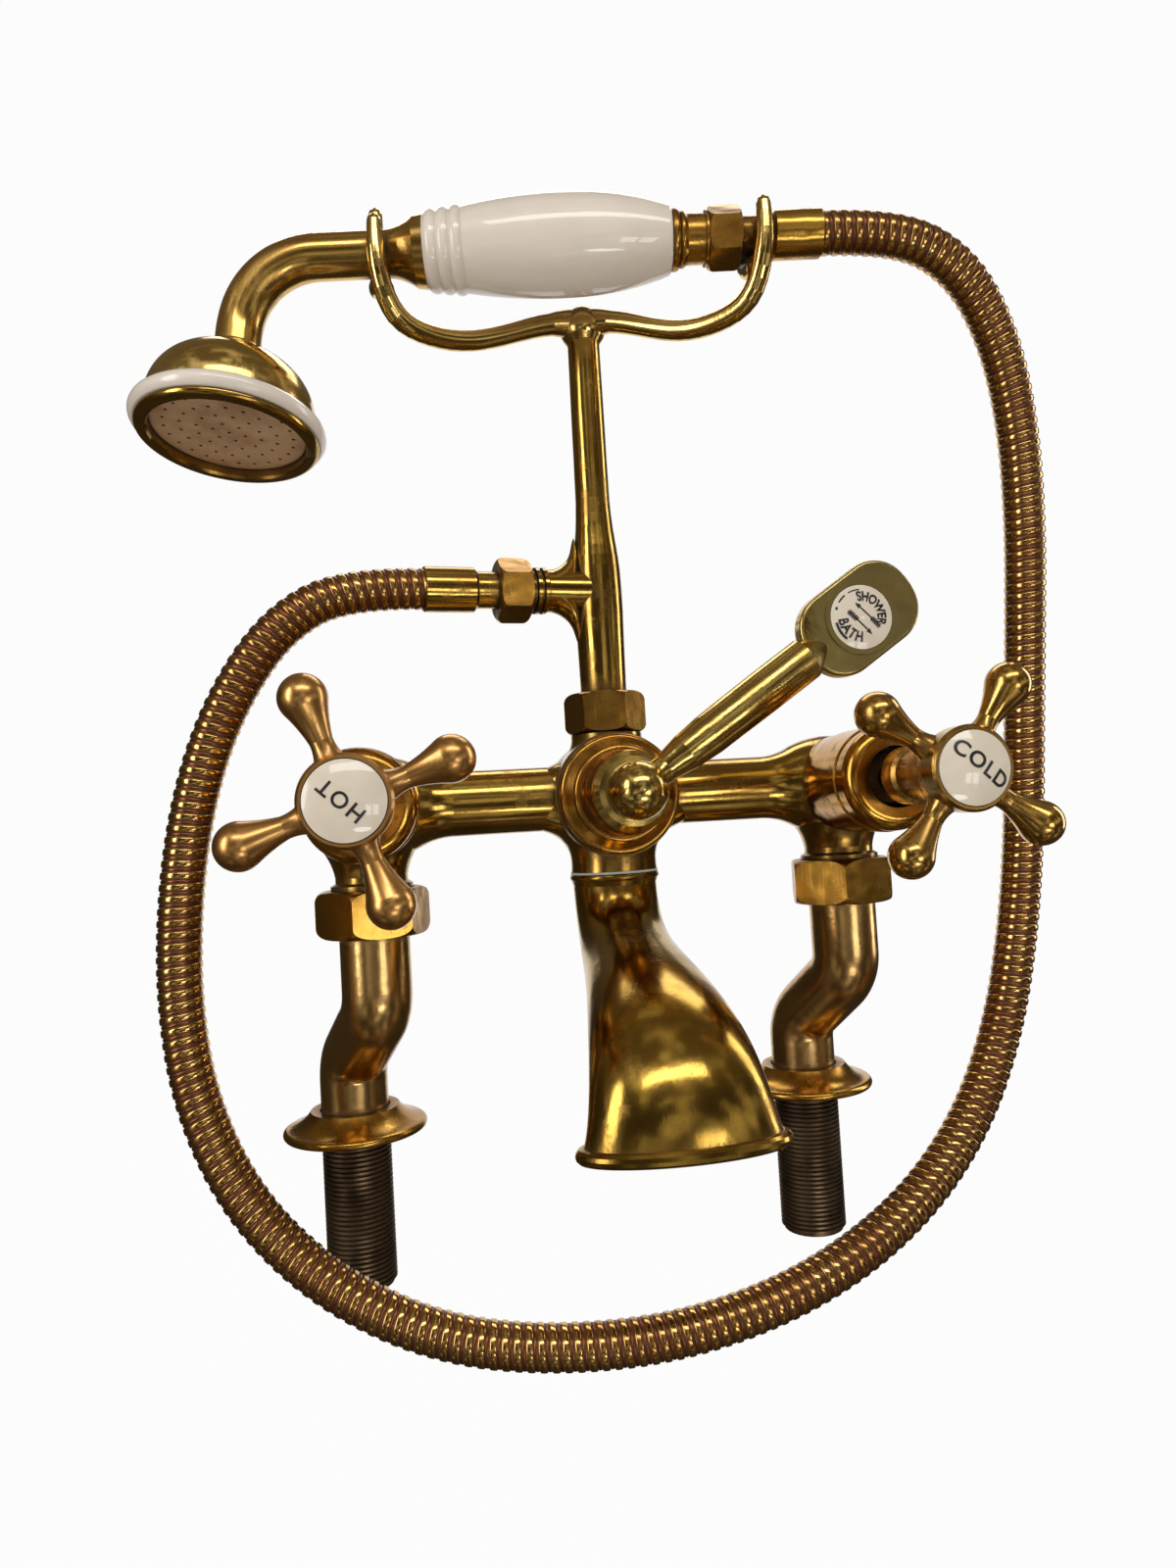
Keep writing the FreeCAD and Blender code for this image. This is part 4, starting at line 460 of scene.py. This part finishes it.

# %% [markdown]
# Old brass is never one colour. Hands and polish keep the high parts bright and golden, while
# grease and verdigris brown the corners. The finish mixes five things over a brass base: broad
# soft patches, blotches of brown tarnish that blur the reflections, fine specks, a brown darkening
# in wide corners that is partly grime and partly painted shade, and a nearly black painted shade
# in tight creases, partly dark dirt. The hot handle is worn to a satin under a thin lacquer, and
# the cold one is brighter.

# %% Handled brass
def handled_brass(name, bright, dull, grime_and_shade, rough=0.09, patch=0.7, waviness=0.38, lacquer=0.0, stain=0.34):
    finish = Finish(name)
    patches = finish.band(finish.noise(34.0, 5.0, 0.62), 0.42, 0.66)
    tarnish = finish.band(finish.noise(58.0, 6.0, 0.72, (1.0, 1.0, 0.7)), 0.55, 0.62)
    specks = finish.band(finish.noise(420.0, 3.0, 0.65), 0.60, 0.74)
    clouds = finish.noise(130.0, 4.0, 0.6)
    wide_air = finish.node("AmbientOcclusion", {"samples": 4}, {"Distance": 0.017}, "AO")
    tight_air = finish.node("AmbientOcclusion", {"samples": 4}, {"Distance": 0.005}, "AO")
    # Painted shade, partly grime: ambient occlusion over 17 mm darkens wide corners towards the brown grime
    # colour.
    corner = (1 - finish.band(wide_air + clouds * 0.2, 0.42, 0.98)).clamped()
    # Painted shade, partly dirt: ambient occlusion over 5 mm turns tight creases nearly black and less
    # metallic.
    crease_dirt_and_shade = (1 - finish.band(tight_air, 0.36, 0.90)).clamped()
    tone = finish.mix(patches * patch, bright, dull)
    tone = finish.mix(clouds * 0.35, tone, dull)
    tone = finish.mix((corner * 0.85 + specks * 0.22 + tarnish * stain).clamped(), tone, grime_and_shade)
    tone = finish.mix(crease_dirt_and_shade * 0.9, tone, rgba(22, 14, 8))
    worn = patches * 0.07 + clouds * 0.08 + tarnish * 0.12
    roughness = (rough + worn + corner * 0.14 + crease_dirt_and_shade * 0.2).clamped()
    waves = finish.noise(55.0, 2.0, 0.5)
    scratches = finish.noise(900.0, 2.0, 0.7, (1.0, 1.0, 0.12))
    normal = finish.bump(waves * waviness + scratches * 0.05, 0.0011, 0.4)
    return finish.principled({"Base Color": tone, "Metallic": 1 - crease_dirt_and_shade * 0.6, "Roughness": roughness,
                              "Normal": normal, "Coat Weight": lacquer, "Coat Roughness": 0.07})


brass = handled_brass("handled_brass", rgba(200, 162, 80), rgba(150, 111, 52), rgba(88, 54, 22))
satin_brass = handled_brass("satin_handle_brass", rgba(224, 170, 96), rgba(180, 126, 62), rgba(88, 50, 20),
                            0.24, 0.6, 0.12, 0.5)
bright_brass = handled_brass("bright_handle_brass", rgba(218, 172, 88), rgba(170, 124, 56), rgba(84, 52, 18),
                             0.13, 0.6, 0.15, 0.3)
polished_brass = handled_brass("polished_brass", rgba(232, 198, 118), rgba(192, 155, 84), rgba(108, 74, 34),
                               0.08, 0.5, 0.5, 0.0, 0.2)
spout_brass = handled_brass("spout_brass", rgba(190, 153, 70), rgba(144, 108, 46), rgba(86, 54, 20),
                            0.11, 0.8, 0.3, 0.0, 0.4)
neck_brass = handled_brass("neck_brass", rgba(224, 182, 100), rgba(186, 142, 74), rgba(112, 72, 36),
                           0.15, 0.5, 0.15, 0.0, 0.15)
collar_brass = handled_brass("browned_collar_brass", rgba(212, 156, 66), rgba(164, 110, 44), rgba(88, 52, 20),
                             0.13, 0.8)
nut_brass = handled_brass("browned_nut_brass", rgba(208, 160, 72), rgba(156, 106, 42), rgba(86, 52, 22),
                          0.17, 0.75, 1.5)
print("brass finishes", [m.name for m in bpy.data.materials if "brass" in m.name])

# %% [markdown]
# The lever is one casting in two tones: its paddle has gone pale and greenish, while the arm
# and the dome on its spindle have the body's warmer gold. How far a point is from the spindle
# decides between them.

# %% Two-toned lever
PALE_FROM, PALE_WHOLLY = 0.066, 0.074


def lever_finish():
    finish = Finish("lever_brass")
    pivot = spot(0, 0, VALVE_AXIS_UP)
    parts = finish.node("SeparateXYZ", {}, {"Vector": finish.place()}, "X")
    far = finish.band(parts + finish.noise(60.0) * 0.01, pivot.x + PALE_FROM, pivot.x + PALE_WHOLLY)
    patches = finish.band(finish.noise(60.0, 4.0, 0.6), 0.44, 0.66)
    clouds = finish.noise(170.0, 3.0, 0.6)
    # Painted shade: ambient occlusion darkens the lever's corners towards dark brown, and makes them rougher
    # and less metallic.
    open_air = finish.node("AmbientOcclusion", {"samples": 6}, {"Distance": 0.006}, "AO")
    corner = (1 - finish.band(open_air, 0.25, 0.85)).clamped()
    warm = finish.mix(patches * 0.6, rgba(212, 180, 102), rgba(160, 124, 58))
    pale = finish.mix(patches * 0.6 + clouds * 0.3, rgba(198, 178, 114), rgba(152, 128, 72))
    tone = finish.mix(far, warm, pale)
    tone = finish.mix(corner * 0.8, tone, rgba(50, 34, 14))
    rough = (0.16 + far * 0.14 + patches * 0.08 + corner * 0.2).clamped()
    waves = finish.noise(48.0, 2.0, 0.5)
    return finish.principled({"Base Color": tone, "Metallic": 1 - corner * 0.3, "Roughness": rough,
                              "Normal": finish.bump(waves * (far * 0.7 + 0.3) + clouds * 0.1, 0.0016, 0.5)})


lever_brass = lever_finish()
print("lever", lever_brass.name)

# %% [markdown]
# The spindles' sleeves and the parts inside were turned on a lathe and never polished. The same
# recipe is used with darker colours, more patches and a rougher face.

# %% Turned brass
sleeve_brass = handled_brass("machined_brass", rgba(176, 126, 66), rgba(120, 80, 40), rgba(40, 24, 12),
                             0.28, 0.7)
print("brown finish", sleeve_brass.name)

# %% [markdown]
# Porcelain is a soft ivory body under a clear glaze. The glaze is the coat: smooth and sharp,
# while the body below it is rougher and has the faintest clouds.

# %% Glazed porcelain
def glazed_porcelain(name, body, warm):
    finish = Finish(name)
    clouds = finish.noise(60.0, 3.0, 0.6)
    specks = finish.band(finish.noise(700.0, 2.0, 0.6), 0.72, 0.80)
    tone = finish.mix(clouds * 0.6, body, warm)
    tone = finish.mix(specks * 0.25, tone, rgba(150, 128, 100))
    ripple = finish.bump(finish.noise(160.0, 2.0, 0.5), 0.0002, 0.25)
    return finish.principled({"Base Color": tone, "Roughness": 0.32 + clouds * 0.08, "Coat Weight": 1.0,
                              "Coat Roughness": 0.04, "Subsurface Weight": 0.06, "Subsurface Scale": 0.002,
                              "Normal": ripple})


porcelain = glazed_porcelain("glazed_porcelain", rgba(232, 222, 210), rgba(212, 198, 182))
button = glazed_porcelain("button_porcelain", rgba(224, 213, 195), rgba(208, 193, 170))
print("porcelain", porcelain.name)

# %% [markdown]
# Rubber washers and the pale seal are small but they show as thin lines, so each gets a matt
# finish of its own with a fine grain. The same finish in a lighter tan dresses the spray plate,
# where painted shade turns it nearly black inside the little holes.

# %% Washers, seal and spray plate
def matt_finish(name, base, other, rough, grain, metal=0.0):
    finish = Finish(name)
    cloud = finish.noise(grain, 4.0, 0.6)
    stain = finish.band(finish.noise(grain * 0.3, 3.0, 0.6), 0.45, 0.7)
    # Painted shade: ambient occlusion turns the insides of holes and tight recesses nearly black.
    air = finish.node("AmbientOcclusion", {"samples": 6}, {"Distance": 0.0012}, "AO")
    hole_shade = (1 - finish.band(air, 0.60, 0.95)).clamped()
    tone = finish.mix(stain * 0.6 + cloud * 0.3, base, other)
    tone = finish.mix(hole_shade * 0.95, tone, rgba(14, 9, 6))
    return finish.principled({"Base Color": tone, "Roughness": rough + cloud * 0.1, "Metallic": metal,
                              "Normal": finish.bump(cloud, 0.0002, 0.4)})


rubber = matt_finish("black_rubber", rgba(26, 25, 24), rgba(44, 42, 40), 0.6, 500.0)
seal = matt_finish("pale_seal", rgba(206, 214, 214), rgba(170, 176, 168), 0.5, 300.0)
plate_brass = matt_finish("tan_spray_plate", rgba(214, 176, 134), rgba(168, 122, 82), 0.38, 160.0, 0.35)
print("small finishes", rubber.name, seal.name, plate_brass.name)

# %% [markdown]
# The hose's shader reads the values stored with its rings: crowns are bright brass, the sunk
# bands are coppery and the seams get a nearly black painted shade.

# %% Rolled strip
def rolled_strip():
    finish = Finish("rolled_strip")
    copper = finish.node("Attribute", {"attribute_name": "copper"}, {}, "Fac")
    seam_shade = finish.node("Attribute", {"attribute_name": "seam_shade"}, {}, "Fac")
    patches = finish.band(finish.noise(26.0, 3.0, 0.6), 0.40, 0.66)
    clouds = finish.noise(300.0, 3.0, 0.6)
    crown = finish.mix(patches * 0.7 + clouds * 0.2, rgba(210, 168, 98), rgba(164, 114, 62))
    sunk = finish.mix(clouds, rgba(158, 98, 70), rgba(104, 60, 40))
    tone = finish.mix(copper, crown, sunk)
    # Painted shade: the seams between turns are painted nearly black and less metallic.
    tone = finish.mix(seam_shade * 0.95, tone, rgba(24, 12, 6))
    rough = (0.14 + patches * 0.08 + copper * 0.16 + seam_shade * 0.3).clamped()
    return finish.principled({"Base Color": tone, "Metallic": 1 - seam_shade * 0.6, "Roughness": rough,
                              "Normal": finish.bump(clouds, 0.0002, 0.3)})


hose.data.materials.append(rolled_strip())
print("hose finish", hose.data.materials[0].name)

# %% [markdown]
# Now every CAD node gets the finish of its real piece. A node's own mesh stays as it is: only
# its material slots change.

# %% Each node's finish
FINISHES = {
    "hot_handle": satin_brass, "cold_handle": bright_brass,
    "diverter_lever": lever_brass, "rose_plate": plate_brass, "spout_seal": seal,
    "diverter_bonnet": collar_brass, "hot_headwork": collar_brass, "cold_headwork": collar_brass,
    "hot_union_nut": nut_brass, "cold_union_nut": nut_brass, "riser_nut": nut_brass, "handset_nut": nut_brass,
    "hose_outlet_nut": nut_brass, "hot_flange": nut_brass, "cold_flange": nut_brass,
    "handset_connector": nut_brass, "handset_ferrule": nut_brass, "handset_neck": neck_brass,
    "spout": spout_brass, "cradle": polished_brass, "rose_bell": polished_brass,
    "porcelain_grip": porcelain, "rose_ring": porcelain,
    "hot_index": button, "cold_index": button, "diverter_index": button,
}
SLOT_FINISHES = {"black_rubber": rubber, "inner_brass": sleeve_brass}
slots = {entry["node"]: entry["material_slot"] for entry in frame["record"]["subparts"]}
for name, node in nodes.items():
    finish = FINISHES.get(name) or SLOT_FINISHES.get(slots[name]) or brass
    node.data.materials.clear()
    node.data.materials.append(finish)
print("dressed", len(nodes), "nodes")

# %% [markdown]
# The cranked unions are two-toned: polished above the flange and browned below the deck, where
# the thread is. Height decides between the two finishes, so the change is in the colour.

# %% Unions that are bright above and brown below
def union_brass():
    finish = Finish("union_brass")
    height = finish.node("SeparateXYZ", {}, {"Vector": finish.place()}, "Z")
    patches = finish.band(finish.noise(38.0, 4.0, 0.6), 0.42, 0.66)
    clouds = finish.noise(150.0, 3.0, 0.6)
    above = finish.band(height + clouds * 0.006, 0.004, 0.012)
    # Painted shade: ambient occlusion darkens the grooves and thread towards near black, and makes them
    # rougher and less metallic.
    open_air = finish.node("AmbientOcclusion", {"samples": 6}, {"Distance": 0.003}, "AO")
    groove_shade = (1 - finish.band(open_air, 0.3, 0.9)).clamped()
    upper = finish.mix(patches * 0.6, rgba(208, 168, 106), rgba(162, 122, 74))
    lower = finish.mix(patches * 0.8 + clouds * 0.3, rgba(140, 116, 88), rgba(84, 64, 46))
    tone = finish.mix(above, lower, upper)
    tone = finish.mix(groove_shade * 0.7, tone, rgba(22, 14, 8))
    rough = (0.34 + clouds * 0.1 - above * 0.16 + groove_shade * 0.2).clamped()
    return finish.principled({"Base Color": tone, "Metallic": 1 - groove_shade * 0.4, "Roughness": rough,
                              "Normal": finish.bump(clouds, 0.0005, 0.3)})


two_tone = union_brass()
for side in ("hot", "cold"):
    nodes[side + "_cranked_union"].data.materials[0] = two_tone
print("two-tone unions", two_tone.name)

# %% [markdown]
# The words on the buttons are fired on, flat and black. A text object gives the letters. They
# are cut into narrow strips, and each corner is then moved onto the domed glaze, so that a word
# follows the dome and none of it sinks in.

# %% Fired lettering
def ink_finish():
    finish = Finish("fired_ink")
    clouds = finish.noise(900.0, 2.0, 0.6)
    tone = finish.mix(clouds, rgba(22, 22, 26), rgba(46, 42, 42))
    return finish.principled({"Base Color": tone, "Roughness": 0.3 + clouds * 0.1, "Coat Weight": 0.6,
                              "Coat Roughness": 0.08})


ink = ink_finish()
INK_PROUD = 0.00007
INK_LIFT = 0.6
STRIP_WIDTH = 0.0005
CAPITAL_SHARE = 0.73


class Dome:
    """A porcelain button's glaze: its middle, its radius and how far it stands proud."""

    def __init__(self, x, z, apex_forward, radius, rise):
        self.middle = spot(x, -apex_forward, z)
        self.radius, self.rise = radius * MM, rise * MM
        self.sphere = (self.radius ** 2 + self.rise ** 2) / (2 * self.rise)

    def at(self, right, up, proud):
        """A point of the glaze, by its distance right of and above the middle."""
        fall = self.sphere - math.sqrt(self.sphere ** 2 - right ** 2 - up ** 2)
        return self.middle + Vector((right, fall - proud, up))


def cut_in_strips(mesh, width):
    """Cut a flat mesh into narrow pieces, so that it can be bent without sinking between corners."""
    cutter = bmesh.new()
    cutter.from_mesh(mesh)
    for axis in (Vector((1, 0, 0)), Vector((0, 1, 0))):
        places = [vertex.co.dot(axis) for vertex in cutter.verts]
        for step in range(math.ceil(min(places) / width), math.ceil(max(places) / width)):
            bmesh.ops.bisect_plane(cutter, geom=cutter.verts[:] + cutter.edges[:] + cutter.faces[:],
                                   plane_co=axis * step * width, plane_no=axis)
    cutter.to_mesh(mesh)
    cutter.free()


def flat_letters(words, height, squeeze=1.0, spacing=1.0, weight=0.0):
    """Corners and faces of some words, centred, with thickness for ink."""
    data = bpy.data.curves.new(words, "FONT")
    data.body = words
    data.size = height / CAPITAL_SHARE
    data.align_x = "CENTER"
    data.space_character = spacing
    data.align_y = "CENTER"
    data.offset = height * weight
    data.extrude = INK_PROUD
    data.resolution_u = 6
    text = bpy.data.objects.new(words, data)
    mesh = bpy.data.meshes.new_from_object(text)
    cut_in_strips(mesh, STRIP_WIDTH)
    corners = [Vector((v.co.x * squeeze, v.co.y, v.co.z)) for v in mesh.vertices]
    middle = (min(c.y for c in corners) + max(c.y for c in corners)) / 2
    corners = [Vector((c.x, c.y - middle, c.z)) for c in corners]
    faces = [tuple(face.vertices) for face in mesh.polygons]
    bpy.data.objects.remove(text)
    bpy.data.meshes.remove(mesh)
    return corners, faces


def ink_on(name, dome, corners, faces, turn, body, shift=(0.0, 0.0)):
    """Lay flat ink on a dome, turned anticlockwise by some degrees and then shifted."""
    cosine, sine = math.cos(math.radians(turn)), math.sin(math.radians(turn))
    laid = [dome.at(c.x * cosine - c.y * sine + shift[0], c.x * sine + c.y * cosine + shift[1],
                    c.z + INK_PROUD * INK_LIFT) for c in corners]
    mesh = bpy.data.meshes.new(name)
    mesh.from_pydata(laid, [], faces)
    mesh.materials.append(ink)
    piece = bpy.data.objects.new(name, mesh)
    bpy.context.scene.collection.objects.link(piece)
    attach(piece, body)


HANDLE_OUT, BUTTON_APEX, BUTTON_RADIUS, BUTTON_RISE = 92.5, 110.42, 11.5, 2.6
HOT_DOME = Dome(-HANDLE_OUT, VALVE_AXIS_UP, BUTTON_APEX, BUTTON_RADIUS, BUTTON_RISE)
COLD_DOME = Dome(HANDLE_OUT, VALVE_AXIS_UP, BUTTON_APEX, BUTTON_RADIUS, BUTTON_RISE)
letters = flat_letters("HOT", 0.0046, 1.0, 1.22, 0.022)
ink_on("hot_word", HOT_DOME, *letters, 137.0, "hot_cross", (-0.0008, 0.0000))
letters = flat_letters("COLD", 0.0050, 1.0, 1.14, 0.028)
ink_on("cold_word", COLD_DOME, *letters, -40.7, "cold_cross", (0.0012, 0.0011))
print("words laid")

# %% [markdown]
# The lever's button says which way the water goes. Its words follow the round edge, so they are
# bent first: a letter's place along the word becomes an angle round the button's middle.

# %% The lever's words and arrows
LEVER_TURN = math.radians(34.2)
LEVER_REACH = 101.0
BORDER_RADIUS = 0.0097
LEVER_DOME = Dome(LEVER_REACH * math.cos(LEVER_TURN),
                  VALVE_AXIS_UP + LEVER_REACH * math.sin(LEVER_TURN), 57.05, 11.4, 1.1)


def bent(corners, radius, below=False):
    """Bend a flat word round the button's middle, above it or below it."""
    curved = []
    for c in corners:
        way = -1 if below else 1
        angle = math.radians(90) * way - way * c.x / radius
        reach = radius + way * c.y
        curved.append(Vector((reach * math.cos(angle), reach * math.sin(angle), c.z)))
    return curved


def slab(outline):
    """A flat piece of ink with an outline that runs anticlockwise."""
    corners = [Vector((x, y, z)) for z in (INK_PROUD, -INK_PROUD) for x, y in outline]
    count = len(outline)
    faces = [tuple(range(count)), tuple(range(2 * count - 1, count - 1, -1))]
    faces += [(i, i + count, (i + 1) % count + count, (i + 1) % count) for i in range(count)]
    return corners, faces


def feathered_arrow(length):
    """An arrow that points right, with a row of slanting feathers near its tail."""
    tip, half = length / 2, 0.00026
    neck, barb = tip - 0.0022, 0.00088
    pieces = [slab([(neck, -barb), (tip, 0), (neck, barb)])]
    steps = [-tip + (neck + tip) * i / 10 for i in range(11)]
    for first, last in zip(steps, steps[1:]):
        pieces.append(slab([(first, -half), (last, -half), (last, half), (first, half)]))
    for i in range(5):
        at = -tip + 0.0008 + i * 0.00085
        for side in (1, -1):
            pieces.append(slab([(at, 0), (at + 0.0006, 0), (at, side * 0.00095),
                                (at - 0.0006, side * 0.00095)][::side]))
    corners, faces = [], []
    for more_corners, more_faces in pieces:
        faces += [tuple(i + len(corners) for i in face) for face in more_faces]
        corners += more_corners
    return corners, faces


def border_dash(radius, thick, first, last):
    """A short stretch of a worn round border line, between two angles in degrees."""
    steps = [math.radians(first + (last - first) * i / 8) for i in range(9)]
    wide, narrow = radius + thick / 2, radius - thick / 2
    outer = [(wide * math.cos(a), wide * math.sin(a)) for a in steps]
    inner = [(narrow * math.cos(a), narrow * math.sin(a)) for a in reversed(steps)]
    return slab(outer + inner)


corners, faces = flat_letters("SHOWER", 0.0035, 0.78, 1.05, 0.046)
ink_on("shower_word", LEVER_DOME, bent(corners, 0.0073), faces, -50.0, "lever")
corners, faces = flat_letters("BATH", 0.0036, 0.80, 1.08, 0.044)
ink_on("bath_word", LEVER_DOME, bent(corners, 0.0071, True), faces, -43.7, "lever")
ink_on("shower_arrow", LEVER_DOME, *feathered_arrow(0.0125), 135.3, "lever", (0.0020, 0.0006))
ink_on("bath_arrow", LEVER_DOME, *feathered_arrow(0.0120), -45.2, "lever", (-0.0010, -0.0021))
for name, thick, first, last in (("dash_a", 0.00046, 92, 118), ("dash_b", 0.00056, 127, 147),
                                 ("dash_c", 0.0008, 158, 164), ("dash_d", 0.0009, 191, 232)):
    ink_on("border_" + name, LEVER_DOME, *border_dash(BORDER_RADIUS, thick, first, last), 0.0, "lever")
print("lever dressed")
